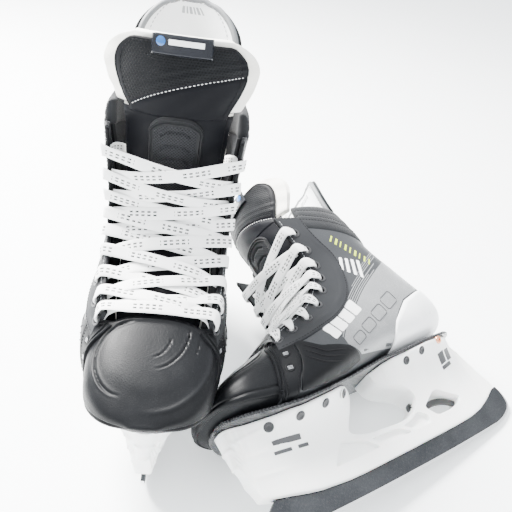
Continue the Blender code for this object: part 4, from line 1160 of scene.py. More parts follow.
def make_cap():
    rings, sides = 120, 260
    grid, tip = cap_surface(rings, sides)
    rows = grid.shape[0]
    closed = np.concatenate([grid[:, -1:], grid, grid[:, :1]], axis=1)
    normals = grid_normals(closed)[:, 1:-1]
    out = 1 if np.dot(normals[40, sides // 4], grid[40, sides // 4] - (110, 0, 100)) > 0 else -1
    normals *= out
    flat = grid.reshape(-1, 3)
    up = normals.reshape(-1, 3)[:, 2]
    push = np.zeros(len(flat))
    for line, half, depth in CAP_LINES:
        gap, where = distance_to(flat[:, :2], line)
        fade = np.clip(where * 8, 0, 1) * np.clip((1 - where) * 5, 0, 1)
        push -= depth * np.exp(-(gap / half) ** 2) * fade * (up > .1)
        push += depth * .35 * np.exp(-((gap - half * 1.9) / half) ** 2) * fade * (up > .1)
    rim = along([(92, -35), (104, -39.5), (118, -39), (131, -34), (141, -26), (148, -16), (151, -4), (150.5, 6)], step=1)
    gap, where = distance_to(flat[:, :2], rim)
    push += .8 * np.exp(-(gap / 1.6) ** 2) * np.clip(where * 6, 0, 1) * np.clip((1 - where) * 4, 0, 1) * (up > -.1)
    table = 1 / (1 + np.exp((np.hypot((flat[:, 0] - 112) / 30, (flat[:, 1] - 1) / 35) - .95) * 14))
    push += 1.0 * table * (up > .2)
    low = np.interp(flat[:, 0], [95, 120, 140, 152, 160], [88, 90, 93.5, 96.5, 97.5])
    push -= .8 * np.exp(-((flat[:, 2] - low) / .8) ** 2) * (flat[:, 0] > 100) * (up < .75)
    push += .9 / (1 + np.exp((flat[:, 2] - low + 1.2) * 2)) * (up < .75) * (up > -.75)
    rear = flat[:, 0] - np.interp(flat[:, 2], [78, 131], [113, 86.5])
    push += .9 * np.exp(-((rear - 2.2) / 1.5) ** 2) * (up > .25)
    grid = (flat + normals.reshape(-1, 3) * push[:, None]).reshape(grid.shape)
    faces = quads(rows, sides, ring=True)
    last = (rows - 1) * sides
    verts = np.vstack([grid.reshape(-1, 3), grid[-1].mean(axis=0)])
    faces += [(last + k, last + (k + 1) % sides, len(verts) - 1) for k in range(sides)]
    base = len(verts)
    inner = grid[0] - normals[0] * 3
    deep = grid[6] - normals[6] * 3
    verts = np.vstack([verts, inner, deep])
    faces += [(k, base + k, base + (k + 1) % sides, (k + 1) % sides) for k in range(sides)]
    faces += [(base + k, base + sides + k, base + sides + (k + 1) % sides, base + (k + 1) % sides) for k in range(sides)]
    faces.append(tuple(base + sides + k for k in range(sides)))
    emit("toe_cap", Form().add(verts, faces), BLACK_CAP, replaces=["toe_cap"], sharp=60)


# ---- sole, holder, runner -----------------------------------------------------------------------------
def sole_z(x):
    return np.interp(x, [s[0] for s in SOLE], [s[1] for s in SOLE])


def outsole_top(x):
    return sole_z(x) - .35 - 2.5 * np.interp(x, [-38, -12], [1, 0])


def flange_top(x):
    return outsole_top(x) - 2.9


def make_outsole():
    xs = np.linspace(-118, 150, 110)
    table = np.array(SOLE, float)
    half = np.interp(xs, table[:, 0], table[:, 2])
    kernel = np.array([1, 2, 3, 2, 1.0]) / 9
    half = np.convolve(np.pad(half, 2, mode="edge"), kernel, mode="valid")
    ends = np.clip(np.minimum((xs + 118) / 16, (150 - xs) / 14), 0, 1)
    half = half * (.35 + .65 * np.sqrt(np.maximum(1 - (1 - ends) ** 2, 0))) + .8
    ws = np.sin(np.linspace(-1, 1, 25) * math.pi / 2)
    top = np.array([[(x, h * w, outsole_top(x)) for w in ws] for x, h in zip(xs, half)])
    low = top - (0, 0, 2.5)
    emit("outsole", slab(top, low, bulge=.35), CARBON, replaces=["outsole"])


def holder_half(x, low, top, flange, rail, late, shares):
    under = top - 2.6
    side = [(flange - .9, top), (flange - .25, top - .3), (flange, top - .9), (flange, under + .8), (flange - .3, under + .2)]
    side += [(rail + (flange - rail) * s ** late, low + (under - low) * s) for s in shares]
    side += [(rail, low + (under - low) * .035), (rail - .5, low + .35), (rail * .72, low)]
    return side


def holder_tables():
    main = sorted(HOLDER)
    xs = [s[0] for s in main]
    tail = sorted(TAIL)
    return main, xs, tail


def make_holder():
    main, xs, tail = holder_tables()
    shares = np.linspace(.985, .06, 46)
    table = [[s[0], s[1], flange_top(s[0]), s[2], s[3], s[4]] for s in main]
    table = [[x, low, top, half, rail, 2] for x, low, top, half, rail in tail] + table
    table = np.array(sorted(table), float)
    fine = np.unique(np.concatenate([np.linspace(-142, 146.5, 200), table[:, 0]]))
    rows = []
    for x in fine:
        values = [np.interp(x, table[:, 0], table[:, c]) for c in range(1, 6)]
        low, top, flange, rail, late = values
        side = np.array(holder_half(x, low, top, flange, rail, late, shares))
        ridge = np.zeros(len(side))
        if x > 96:
            fade = np.clip((x - 96) / 26, 0, 1)
            for z0, depth in ((71.5 - (146 - x) * .06, .9), (59 - (146 - x) * .1, .9), (45 - (146 - x) * .12, .6)):
                ridge += depth * fade * np.exp(-((side[:, 1] - z0) / 1.5) ** 2)
        side[:, 0] += ridge
        rows.append([(x + (ridge[k] if x > 140 else 0), y, z) for k, (y, z) in enumerate(side)]
                    + [(x + (ridge[-1 - k] if x > 140 else 0), -y, z) for k, (y, z) in enumerate(side[::-1])])
    grid = np.array(rows)
    kernel = np.array([1, 2, 3, 2, 1.0]) / 9
    soft = grid.copy()
    for c in (1, 2):
        padded = np.pad(grid[:, :, c], ((2, 2), (0, 0)), mode="edge")
        soft[:, :, c] = sum(padded[k:k + len(grid)] * kernel[k] for k in range(5))
    grid = soft
    n, cols = grid.shape[:2]
    nose = grid[-1].mean(axis=0)
    extra = []
    for k, out in ((.12, .9), (.35, 2.0), (.7, 2.7)):
        ring = grid[-1].copy()
        ring[:, 1] *= 1 - k
        ring[:, 0] += out
        ring[:, 2] = ring[:, 2] * (1 - k * .04) + nose[2] * k * .04
        extra.append(ring)
    grid = np.concatenate([grid, np.array(extra)])
    n = len(grid)
    faces = quads(n, cols, ring=True)
    faces += [tuple(range(cols))[::-1], tuple(range((n - 1) * cols, n * cols))]
    form = Form().add(grid, faces)
    cutter = Form()

    def prism(outline, y0, y1):
        outline = np.asarray(outline)
        k = len(outline)
        verts = [(x, y0, z) for x, z in outline] + [(x, y1, z) for x, z in outline]
        sides = [(i, (i + 1) % k, k + (i + 1) % k, k + i) for i in range(k)]
        cutter.add(verts, sides + [tuple(range(k))[::-1], tuple(range(k, 2 * k))])

    prism(rounded(ARCH, 7, 6), -60, 60)
    prism(rounded(WINDOW, 3.5, 6), -60, 60)
    for pocket in POCKETS:
        soft_pocket = rounded(pocket, 3, 5)
        prism(soft_pocket, 4.4, 60)
        prism(soft_pocket, -60, -4.4)
    emit("blade_holder", form, PLASTIC, replaces=["blade_holder"], cutters=cutter, bevel=.9, sharp=35)


def wall_frame(x, z, side):
    """Point and normal of the holder's flared wall at (x, z)."""
    main, xs, _ = holder_tables()
    table = np.array([[s[0], s[1], flange_top(s[0]) - 2.6, s[2], s[3], s[4]] for s in main], float)

    def y_at(x, z):
        low, under, flange, rail, late = (np.interp(x, table[:, 0], table[:, c]) for c in range(1, 6))
        share = np.clip((z - low) / (under - low), .05, 1)
        return rail + (flange - rail) * share ** late
    y = y_at(x, z)
    dx = (y_at(x + 1, z) - y_at(x - 1, z)) / 2
    dz = (y_at(x, z + .5) - y_at(x, z - .5))
    normal = unit(np.array((-dx, 1, -dz)))
    return np.array((x, y * side, z)), normal * (1, side, 1)


def make_rivets():
    dark, copper = Form(), {1: Form(), -1: Form()}
    for side in (1, -1):
        for x, z in ((121.5, 69.8), (96.5, 67.6), (70.5, 69.4), (47.5, 72), (-38.5, 80.2), (-60, 83.1)):
            centre, normal = wall_frame(x, z, side)
            ring_form(dark, centre + normal * .4, normal, 4.2, .6, slot=1)
            turned(dark, centre, normal, [(0, 1.0), (1.4, .95), (1.9, 1.4), (3.0, 1.5), (3.9, 1.0), (4.0, -.3)])
        centre, normal = wall_frame(-88, 86.7, side)
        turned(copper[side], centre, normal, [(0, .2), (.9, .25), (1.1, 1.1), (2.0, 1.5), (2.9, 1.3), (3.6, .5), (3.7, -.4)])
        for k in range(6):
            a = 2 * math.pi * k / 6
            up = unit(np.cross(normal, (1.0, 0, 0)))
            out = up * math.cos(a) + np.cross(normal, up) * math.sin(a)
            copper[side].add(*tube(np.array([centre + out * 1.0 + normal * 1.2, centre + out * 3.2 + normal * 1.25]), .28, 6))
    emit("rivets", dark, [DARK_METAL, PLASTIC])
    emit("heel_rivet_outer", copper[1], COPPER, replaces=["heel_rivet_outer"])
    emit("heel_rivet_inner", copper[-1], COPPER, replaces=["heel_rivet_inner"])


def make_holder_prints():
    """Generic dark bars on the towers in place of marks."""
    bars = Form()
    for x0, z0, x1, z1, high in ((121, 61, 97, 58.5, 3.6), (121, 54.5, 106, 53, 2.2), (100, 52.4, 91, 51.5, 2.2),
                                 (-84, 76.5, -93, 78.5, 9), (-96, 78.5, -104, 80, 9), (-86, 66, -101, 69, 3)):
        steps = 12
        rows = []
        for t in np.linspace(0, 1, steps):
            x, z = x0 + (x1 - x0) * t, z0 + (z1 - z0) * t
            rows.append([wall_frame(x - (high * s) * .25, z - high * s, 1) for s in np.linspace(0, 1, 5)])
        top = np.array([[p + n * .22 for p, n in row] for row in rows])
        low = np.array([[p - n * .35 for p, n in row] for row in rows])
        piece = slab(top, low)
        bars.add(piece.verts, piece.faces)
    emit("holder_bars", bars, PRINT_DARK)


def rail_z(x):
    table = np.array(sorted([(s[0], s[1]) for s in HOLDER[2:]] + [(s[0], s[1]) for s in TAIL]))
    return np.interp(x, table[:, 0], table[:, 1])


def edge_z(x):
    return np.maximum(np.abs(x) - 12, 0) ** 2 / 6000


def make_steel_line():
    line = Form()
    for side in (1, -1):
        xs = np.linspace(-142, 132, 160)
        line.add(*tube(np.array([(x, 1.75 * side, rail_z(x) - .1) for x in xs]), .42, 6))
    emit("steel_line", line, THREAD)


def make_runner():
    bottom = [(x, float(edge_z(x))) for x in range(-120, 118, 6)]
    bottom += [(120, 2.6), (126, 4), (131, 6.4), (135, 10.4), (138, 15.5), (139.5, 21)]
    bottom = [(-149.5, 33), (-151.6, 26), (-151.6, 19), (-149.6, 13.6), (-145, 9.3), (-138, 6), (-130, 3.6)] + bottom
    top = [(-149.5, 33), (-143, rail_z(-143) - .35)]
    top += [(x, rail_z(x) - .35) for x in range(-138, -120, 6)] + [(-119, rail_z(-119) + 4)]
    top += [(x, rail_z(x) + 6) for x in range(-112, 114, 6)] + [(119, rail_z(119) - .35), (130, rail_z(130) - .35)]
    top += [(139.5, 21)]
    count = 240
    low, high = along(bottom, count=count), along(top, count=count)
    up = unit(np.stack([-np.gradient(low[:, 1]), np.gradient(low[:, 0])], axis=1))
    levels = [0, None, .12, .25, .4, .6, .8, 1]
    form = Form()
    rows = []
    for side in (1, -1):
        grid = []
        for level in levels:
            if level == 0:
                line, y = low, 1.25
            elif level is None:
                line, y = low + up * np.minimum(1.9, .45 * np.linalg.norm(high - low, axis=1))[:, None], 1.5
            else:
                line, y = low * (1 - level) + high * level, 1.5
            grid.append(np.stack([line[:, 0], np.full(count, y * side), line[:, 1]], axis=1))
        rows.append(np.array(grid))
    n = len(levels)
    for grid in rows:
        form.add(grid[1:], quads(n - 1, count), 0)
        form.add(grid[:2], quads(2, count), 1)
    form.add(np.array([rows[0][0], rows[0][0] * (1, 0, 1) + (0, 0, .3), rows[1][0]]), quads(3, count), 1)
    form.add(np.array([rows[0][-1], rows[1][-1]]), quads(2, count), 0)
    emit("runner", form, [STEEL, EDGE], body="runner", replaces=["runner"])


def make_trigger():
    centre, radius = np.array((-62, 2.0)), 41.5
    angles = np.radians(np.linspace(64, 134, 40))
    form = Form()
    rings = []
    for k, a in enumerate(angles):
        out = np.array((math.cos(a), math.sin(a)))
        half = 2.4 + .5 * math.sin(math.pi * k / 39)
        spot = centre + out * radius
        section = []
        for w, t in ((1, .6), (.75, 1), (-.75, 1), (-1, .6), (-1, -.6), (-.75, -1), (.75, -1), (1, -.6)):
            p = spot + out * half * w
            section.append((p[0], -1.2 + 1.9 * t, p[1]))
        rings.append(section)
    form.add(np.array(rings), quads(40, 8, ring=True) + [tuple(range(8))[::-1], tuple(range(312, 320))])
    turned(form, np.array((-37.5, -3.1, 46.5)), (0, -1, 0), [(1.85, 0), (4.3, 0), (4.6, -.4), (4.6, -3.4), (4.2, -3.8), (1.85, -3.8)])
    emit("release_trigger", form, TRIGGER, body="trigger", replaces=["release_trigger"])


# ---- collar and linings -------------------------------------------------------------------------------
def collar_line(level, qs, side):
    """A section of the collar above the boot's top: level 0 at its foot, 2 at its rim."""
    front, back = spline(COLLAR_FRONT, level), spline(COLLAR_BACK, level)
    width = (WIDTH_OUTER if side > 0 else WIDTH_INNER)[-1] - 1
    throat, peak, corner = THROAT[-1], PEAK[-1], CORNER[-1]
    length = np.linalg.norm(back - front)
    near = np.interp(qs, [0, 1, 2, 3], [0, 9, 18, 26])
    near = np.where(qs > 3, 26 + (qs - 3) * (peak * length - 26), near) / length
    y = throat + (width - throat) * np.sin(math.pi / 2 * near / peak)
    angle = np.clip((qs - 4) / 5, 0, 1) * math.pi / 2
    c, s = np.maximum(np.cos(angle), 1e-9), np.maximum(np.sin(angle), 1e-9)
    reach = (c ** corner + s ** corner) ** (-1 / corner)
    share = np.where(qs <= 4, near, peak + (1 - peak) * s * reach)
    y = np.where(qs <= 4, y, width * c * reach)
    xz = front + (back - front) * share[:, None]
    return np.stack([xz[:, 0], side * y, xz[:, 1]], axis=1)


def make_collar():
    qs = np.arange(2.7, 9.001, .1)

    def whole(maker):
        return np.vstack([maker(qs, 1), maker(qs[:-1][::-1], -1)])
    lines = [whole(lambda q, s: boot(np.full(len(q), v), q, s)) for v in (8.45, 8.75, 9)]
    lines += [whole(lambda q, s: collar_line(level, q, s)) for level in (0, .5, 1, 1.5, 2)]
    lines = np.array(lines)
    ts = np.linspace(0, len(lines) - 1, 40)
    outer = np.array([[0.0] * 3] * (len(ts) * lines.shape[1])).reshape(len(ts), -1, 3)
    for j in range(lines.shape[1]):
        outer[:, j] = spline(lines[:, j], ts)
    sign = outward_sign(outer, (-30, 0, 235))
    s = np.linspace(0, 1, len(ts))
    puff = 2.6 * np.sin(math.pi * np.clip(s * 1.02, 0, 1)) ** .6 + .55 * np.abs(np.sin(math.pi * s * 4)) - .3
    ends = np.clip(np.arange(lines.shape[1]) / 5, 0, 1)
    ends = np.minimum(ends, ends[::-1])
    ends = np.sqrt(np.maximum(1 - (1 - ends) ** 2, 0))
    skin = raise_grid(outer, puff[:, None] * ends[None], sign)
    inner = raise_grid(outer, -6.3 * (.35 + .65 * ends[None]) * np.ones((len(ts), 1)), sign)
    top_out, top_in = skin[-1], inner[-1]
    roll = []
    for a in np.linspace(0, math.pi, 9)[1:-1]:
        mid, half = (top_out + top_in) / 2, (top_out - top_in) / 2
        roll.append(mid + half * math.cos(a) + np.array((0, 0, 1)) * np.linalg.norm(half, axis=1)[:, None] * math.sin(a) * .8)
    sheet = np.vstack([skin, np.array(roll), inner[::-1][:26]])
    run = np.zeros_like(sheet)
    run[..., 0] = np.cumsum(np.concatenate([[0], np.linalg.norm(np.diff(sheet[20], axis=0), axis=1)]))[None]
    run[..., 1] = np.arange(len(sheet))[:, None] * 1.1
    tall, wide = sheet.shape[:2]
    last = (tall - 1) * wide
    faces = quads(tall, wide) + [(last + j, last + j + 1, j + 1, j) for j in range(wide - 1)]
    faces += [tuple(i * wide for i in range(tall)), tuple(i * wide + wide - 1 for i in range(tall))]
    held = np.ones((tall, wide), bool)
    for low, high in ((1, 9), (11, 19), (21, 28), (31, 42)):
        held[low + 1:high, 4:-4] = False
    emit("collar_pad", Form().add(sheet, faces, run=run), COLLAR, replaces=["collar_pad"],
         held=held.ravel(), cap=1.4)
    seam = Form()
    for level in (9, 19, 29):
        normals = grid_normals(skin)[level] * sign
        stitches(seam, skin[level] + normals * .05, normals, 2.2, 1.0, .5, .3)
    emit("collar_stitches", seam, THREAD)


def make_liner():
    grid = boot_rows(np.linspace(2.2, 8.9, 60), 2.6, 2.6, .2)
    form = slab(raise_grid(grid, -2.7, SIGN), raise_grid(grid, -5.9, SIGN), run=grid)
    emit("ankle_liner", form, LINER, replaces=["ankle_liner"],
         held=still(form, edge_share(grid) > 5, 1), cap=.9)
    rows = [(-92, 15, 3.5), (-75, 20, 3.5), (-45, 22, 3.5), (-10, 24, 3), (25, 28, 2), (55, 34, 1.5), (85, 36, 1.5), (104, 32, 1.5)]
    xs = np.linspace(-92, 104, 50)
    table = np.array(rows, float)
    ws = np.linspace(-1, 1, 15)
    grid = []
    for x in xs:
        half, rise = np.interp(x, table[:, 0], table[:, 1]), np.interp(x, table[:, 0], table[:, 2])
        grid.append([(x, half * w, sole_z(x) + 9.55 + rise * w * w) for w in ws])
    grid = np.array(grid)
    form = slab(grid, grid - (0, 0, 2.5), run=grid)
    emit("footbed", form, FOOTBED, replaces=["footbed"],
         held=still(form, edge_share(grid) > 3), cap=.6)



# ---- tongue -----------------------------------------------------------------------------------------
def sheet(line, halves, bows, rows, cols, inset=0.0, height=0.0, forward=1, span=None):
    """A sheet along a centre line that bows back towards its sides, with run coordinates."""
    last = len(line) - 1
    us = np.linspace(*(span or (0, last)), rows)
    centre, half, bow = spline(line, us), spline(halves, us), spline(bows, us)
    ahead = spline(line, us + .05) - spline(line, us - .05)
    back = unit(np.stack([-ahead[:, 1], ahead[:, 0]], axis=1)) * forward
    ws = np.linspace(-1, 1, cols)
    reach = np.maximum(half - inset, 4)[:, None] * ws[None]
    push = bow[:, None] * (reach / half[:, None]) ** 2
    grid = np.stack([centre[:, :1] + back[:, :1] * push, reach, centre[:, 1:] + back[:, 1:] * push], axis=2)
    along_run = np.concatenate([[0], np.cumsum(np.linalg.norm(np.diff(centre, axis=0), axis=1))])
    run = np.stack([reach, np.tile(along_run[:, None], (1, cols)), np.zeros_like(reach)], axis=2)
    n = grid_normals(grid)
    n *= 1 if n[rows // 2, cols // 2, 0] * forward > 0 else -1
    return grid + n * height, n, run


def edge_share(grid, rows=True):
    """Distance of each grid point from the nearest edge of the sheet, in millimetres."""
    across = np.concatenate([np.zeros((len(grid), 1)), np.cumsum(np.linalg.norm(np.diff(grid, axis=1), axis=2), axis=1)], axis=1)
    across = np.minimum(across, across[:, -1:] - across)
    down = np.concatenate([np.zeros((1, grid.shape[1])), np.cumsum(np.linalg.norm(np.diff(grid, axis=0), axis=2), axis=0)])
    down = np.minimum(down, down[-1:] - down)
    return np.minimum(across, down) if rows else across


def cushion(grid, n, run, up, down, round_over=3.0, slot=0, rows=True, wave=0.0):
    """A soft sheet whose faces curve together at the rim."""
    e = np.clip(edge_share(grid, rows) / round_over, 0, 1)
    full = np.sqrt(np.maximum(1 - (1 - e) ** 2, 0))
    middle = (up - down) / 2
    noise = wave * np.array([[math.sin(p[1] * .31 + p[2] * .23) * math.sin(p[2] * .17 + 1.3) for p in r] for r in grid])
    top = grid + n * ((middle + (up - middle) * full) + noise * full)[..., None]
    low = grid + n * (middle - (middle + down) * full)[..., None]
    return top, low


def still(form, free, face=0):
    """Which of a slab's vertices stay still while the free ones on one of its faces are blown up."""
    held = np.ones(len(form.verts), bool)
    held[face * free.size:(face + 1) * free.size] = ~free.ravel()
    return held


def grid_at(grid, i, j):
    """A point of a grid at fractional row and column."""
    i, j = min(max(i, 0), grid.shape[0] - 1.001), min(max(j, 0), grid.shape[1] - 1.001)
    a, b = int(i), int(j)
    s, t = i - a, j - b
    return ((grid[a, b] * (1 - t) + grid[a, b + 1] * t) * (1 - s) + (grid[a + 1, b] * (1 - t) + grid[a + 1, b + 1] * t) * s)


def make_tongue():
    grid, n, run = sheet(TONGUE, TONGUE_HALF, TONGUE_BOW, 90, 44)
    top, low = cushion(grid, n, run, 0, 6, 3.2, wave=.35)
    edge = edge_share(grid)
    form = slab(top, low, run=run, bulge=.1)
    emit("tongue_felt", form, FELT, replaces=["tongue_felt"],
         held=still(form, (edge > .5) & (edge < 8)), cap=1.2)
    grid, n, run = sheet(TONGUE, TONGUE_HALF, TONGUE_BOW, 90, 44, inset=3)
    top, low = cushion(grid, n, run, 2.6, -.9, 1.2, wave=.2)
    emit("tongue_cover", slab(top, low, run=run), TONGUE_DARK, replaces=["tongue_cover"])
    seam = Form()
    for j in (2.2, 41.8):
        path = [grid_at(top, i, j) + grid_at(n, i, j) * .05 for i in np.linspace(2, 88, 160)]
        stitches(seam, path, [grid_at(n, i, j) for i in np.linspace(2, 88, 160)], 2.4, 1.0, .6, .3)
    emit("tongue_seams", seam, THREAD)
    grid, n, run = sheet(TONGUE, TONGUE_HALF, TONGUE_BOW, 70, 60, inset=3, span=(6, 9.95))
    cols = grid.shape[1]
    j0, j1 = int(cols * .26), int(cols * .74)
    grid, n, run = grid[:, j0:j1 + 1], n[:, j0:j1 + 1], run[:, j0:j1 + 1]
    # the pad's outline is an arch: its columns end lower towards the sides
    fine_i, fine_j = 110, 44
    ws = np.linspace(-1, 1, fine_j)
    arched, normals, runs = [], [], []
    for i in np.linspace(0, 1, fine_i):
        row, rn, rr = [], [], []
        for w in ws:
            top_row = 69 * (1 - .20 * abs(w) ** 3.2)
            y = (w + 1) / 2 * (j1 - j0)
            row.append(grid_at(grid, i * top_row, y))
            rn.append(grid_at(n, i * top_row, y))
            rr.append(grid_at(run, i * top_row, y))
        arched.append(row)
        normals.append(rn)
        runs.append(rr)
    arched, normals, runs = np.array(arched), np.array(normals), np.array(runs)
    edge = edge_share(arched)
    ridge = .9 * np.exp(-((edge - 1.6) / .7) ** 2) + .9 * np.exp(-((edge - 4.6) / .7) ** 2)
    field = edge > 6.4
    for s in (0, 1, 2):
        down = 10.0 + 10.5 * s + np.maximum(np.abs(arched[..., 1]) - 5.5, 0) * .5
        d = (edge_from_top(arched) - down) / 1.15
        ridge -= 1.15 * np.exp(-d ** 2) * (np.abs(arched[..., 1]) < 9.5) * field
    high = arched + normals * (4.1 + ridge * np.clip(edge / .8, 0, 1))[..., None]
    base = arched + normals * 2.7
    form = slab(high, base, run=runs)
    rows_in = np.array([field[min(f[0] // fine_j, fine_i - 1), f[0] % fine_j] if max(f) < fine_i * fine_j else False
                        for f in form.faces])
    form.slots = [1 if inside else 0 for inside in rows_in]
    emit("tongue_lace_pad", form, [RUBBER, MESH], replaces=["tongue_lace_pad"])


def edge_from_top(grid):
    down = np.concatenate([np.zeros((1, grid.shape[1])), np.cumsum(np.linalg.norm(np.diff(grid, axis=0), axis=2), axis=0)])
    return down[-1:] - down


def make_tongue_top():
    grid, n, run = sheet(TOP_TONGUE, TOP_HALF, TOP_BOW, 60, 56, inset=-2.5, span=(-.1, 5.0))
    top, low = cushion(grid, n, run, .8, 6.6, 3.6, wave=.5)
    edge = edge_share(grid)
    form = slab(top, low, run=run, bulge=.1)
    emit("tongue_top_felt", form, FELT, body="tongue_top", replaces=["tongue_top_felt"],
         held=still(form, (edge > .5) & (edge < 12)), cap=1.6, bend=TONGUE_BEND)
    grid, n, run = sheet(TOP_TONGUE, TOP_HALF, TOP_BOW, 60, 56, inset=9, span=(-.35, 4.05))
    top, low = cushion(grid, n, run, 3.0, -.9, 1.4, wave=.25)
    seam_rows = 17 - 14 * np.linspace(-1, 1, 56) + 3.0 * np.cos(np.linspace(-1, 1, 56) * 1.5)
    for j in range(56):
        for i in range(60):
            d = (i - seam_rows[j]) * .78
            top[i, j] -= n[i, j] * (.9 * math.exp(-(d / 1.0) ** 2))
            for ridge in (5.2, 9.5):
                top[i, j] += n[i, j] * .45 * math.exp(-((d - ridge) / 1.1) ** 2)
    form = slab(top, low, run=run)
    size = 60 * 56
    slots = []
    for f in form.faces:
        if max(f) < size:
            i, j = f[0] // 56, f[0] % 56
            slots.append(1 if i > seam_rows[j] + 1 and 2 < j < 52 and i < 56 else 0)
        else:
            slots.append(0)
    form.slots = slots
    emit("tongue_top_cover", form, [TONGUE_DARK, PERFORATED], body="tongue_top", replaces=["tongue_top_cover"],
         bend=TONGUE_BEND)
    dash, dark = Form(), Form()
    js = np.linspace(1.5, 53.5, 200)
    path = [grid_at(top, np.interp(j, range(56), seam_rows), j) + grid_at(n, 30, j) * .1 for j in js]
    stitches(dash, path, [grid_at(n, np.interp(j, range(56), seam_rows), j) for j in js], 1.6, 1.2, .62, .35)
    path = [grid_at(top, np.interp(j, range(56), seam_rows) + 2.2, j) for j in js]
    stitches(dark, path, [grid_at(n, 30, j) for j in js], 2.2, .9, .6, .3)
    loop = [(i, 2.6) for i in np.linspace(3, 56, 90)] + [(56.4, j) for j in np.linspace(3, 52, 90)]
    loop += [(i, 52.4) for i in np.linspace(56, 3, 90)]
    stitches(dark, [grid_at(top, i, j) for i, j in loop], [grid_at(n, i, j) for i, j in loop], 2.4, 1.0, .7, .35)
    emit("tongue_dashes", dash, THREAD_WHITE, body="tongue_top", bend=TONGUE_BEND)
    emit("tongue_top_stitches", dark, THREAD, body="tongue_top", bend=TONGUE_BEND)
    rim = Form()
    loop = [(i, .4) for i in np.linspace(1, 57, 60)] + [(58.6, j) for j in np.linspace(2, 53, 60)]
    loop += [(i, 54.6) for i in np.linspace(57, 1, 60)]
    rim.add(*tube(np.array([grid_at(top, i, j) + grid_at(n, i, j) * -.3 for i, j in loop]), 1.15, 8))
    emit("tongue_piping", rim, THREAD, body="tongue_top", bend=TONGUE_BEND)
    # tab across the top, with a disc and a bar in place of a mark
    grid, n, run = sheet(TOP_TONGUE, [19] * 6, [3.7, 3.3, 3.1, 2.9, 2.8, 2.8], 30, 40, span=(2.9, 5.0))
    high, base = cushion(grid, n, run, 5.6, -3.4, 1.2)
    emit("tongue_tab", slab(high, base, run=run), TAB, body="tongue_top", replaces=["tongue_tab"])
    marks = Form()
    turned(marks, grid_at(high, 16, 33), grid_at(n, 16, 33), [(0, .35), (2.6, .3), (3.1, .05), (3.1, -.3)], slot=0)
    strip = np.array([[grid_at(high, i, j) + grid_at(n, i, j) * .16 for j in np.linspace(6, 28, 30)]
                      for i in np.linspace(12, 20, 5)])
    bar = slab(strip, strip - grid_at(n, 16, 20) * .4)
    marks.add(bar.verts, bar.faces, slot=1)
    emit("tab_marks", marks, [BLUE, PRINT_WHITE], body="tongue_top")


# ---- tendon guard -------------------------------------------------------------------------------------
def make_guard():
    grid, n, run = sheet(GUARD, GUARD_HALF, GUARD_BOW, 60, 60, forward=-1)
    top, low = cushion(grid, n, run, .3, 2.2, 1.0)
    emit("tendon_guard", slab(top, low, run=run), GUARD_DARK, body="guard", replaces=["tendon_guard"])
    grid, n, run = sheet(GUARD, GUARD_HALF, GUARD_BOW, 60, 60, inset=1.2, forward=-1, span=(.1, 5.9))
    top, low = cushion(grid, n, run, -2.65, 6.0, 2.8, wave=.15)
    edge = edge_share(grid)
    form = slab(top, low, run=run, bulge=.15)
    emit("guard_lining", form, GUARD_CLOTH, body="guard", replaces=["guard_lining"],
         held=still(form, edge > 4.5, 1), cap=1.3)
    loop = [(i, .8) for i in np.linspace(0, 57, 80)] + [(58.4, j) for j in np.linspace(1.5, 57.5, 90)]
    loop += [(i, 58.2) for i in np.linspace(57, 0, 80)]
    middle = (top + low) / 2
    bind = Form().add(*tube(np.array([grid_at(middle, i, j) for i, j in loop]), 2.35, 12))
    emit("guard_binding", bind, GUARD_GREY, body="guard")
    seam = Form()
    loop = [(i, 4.6) for i in np.linspace(1, 53, 120)] + [(54.2, j) for j in np.linspace(5, 54, 120)]
    loop += [(i, 54.4) for i in np.linspace(53, 1, 120)]
    stitches(seam, [grid_at(low, i, j) - grid_at(n, i, j) * .1 for i, j in loop],
             [-grid_at(n, i, j) for i, j in loop], 2.2, 1.3, .7, .4)
    emit("guard_stitches", seam, THREAD_GREY, body="guard")
    bars = Form()
    for k, (j, wide) in enumerate(((38, 2.4), (34, 1.4), (31, 2.4), (27, 1.4), (24, 2.4), (20, 1.4))):
        patch = np.array([[grid_at(low, i, j - wide * t + (i - 42) * .25) - grid_at(n, i, j) * .15 for t in np.linspace(0, 1, 4)]
                          for i in np.linspace(40, 47, 8)])
        bar = slab(patch, patch + grid_at(n, 43, j) * .4)
        bars.add(bar.verts, bar.faces)
    emit("guard_bars", bars, PRINT_GREY, body="guard")


# ---- lace -------------------------------------------------------------------------------------------
def centripetal(points, step):
    """A smooth curve through uneven points that doesn't overshoot, and where the points lie on it."""
    pts = np.asarray(points, float)
    pts = np.vstack([2 * pts[0] - pts[1], pts, 2 * pts[-1] - pts[-2]])
    out, owners = [], []
    for k in range(1, len(pts) - 2):
        p0, p1, p2, p3 = pts[k - 1:k + 3]
        t0 = 0.0
        t1 = t0 + max(np.linalg.norm(p1 - p0), 1e-6) ** .5
        t2 = t1 + max(np.linalg.norm(p2 - p1), 1e-6) ** .5
        t3 = t2 + max(np.linalg.norm(p3 - p2), 1e-6) ** .5
        count = max(int(np.linalg.norm(p2 - p1) / step), 2)
        for i in range(count):
            t = t1 + (t2 - t1) * i / count
            a1 = (t1 - t) / (t1 - t0) * p0 + (t - t0) / (t1 - t0) * p1
            a2 = (t2 - t) / (t2 - t1) * p1 + (t - t1) / (t2 - t1) * p2
            a3 = (t3 - t) / (t3 - t2) * p2 + (t - t2) / (t3 - t2) * p3
            b1 = (t2 - t) / (t2 - t0) * a1 + (t - t0) / (t2 - t0) * a2
            b2 = (t3 - t) / (t3 - t1) * a2 + (t - t1) / (t3 - t1) * a3
            out.append((t2 - t) / (t2 - t1) * b1 + (t - t1) / (t2 - t1) * b2)
            owners.append(k - 1 + i / count)
    out.append(pts[-2])
    owners.append(len(pts) - 3.0)
    return np.array(out), np.array(owners)


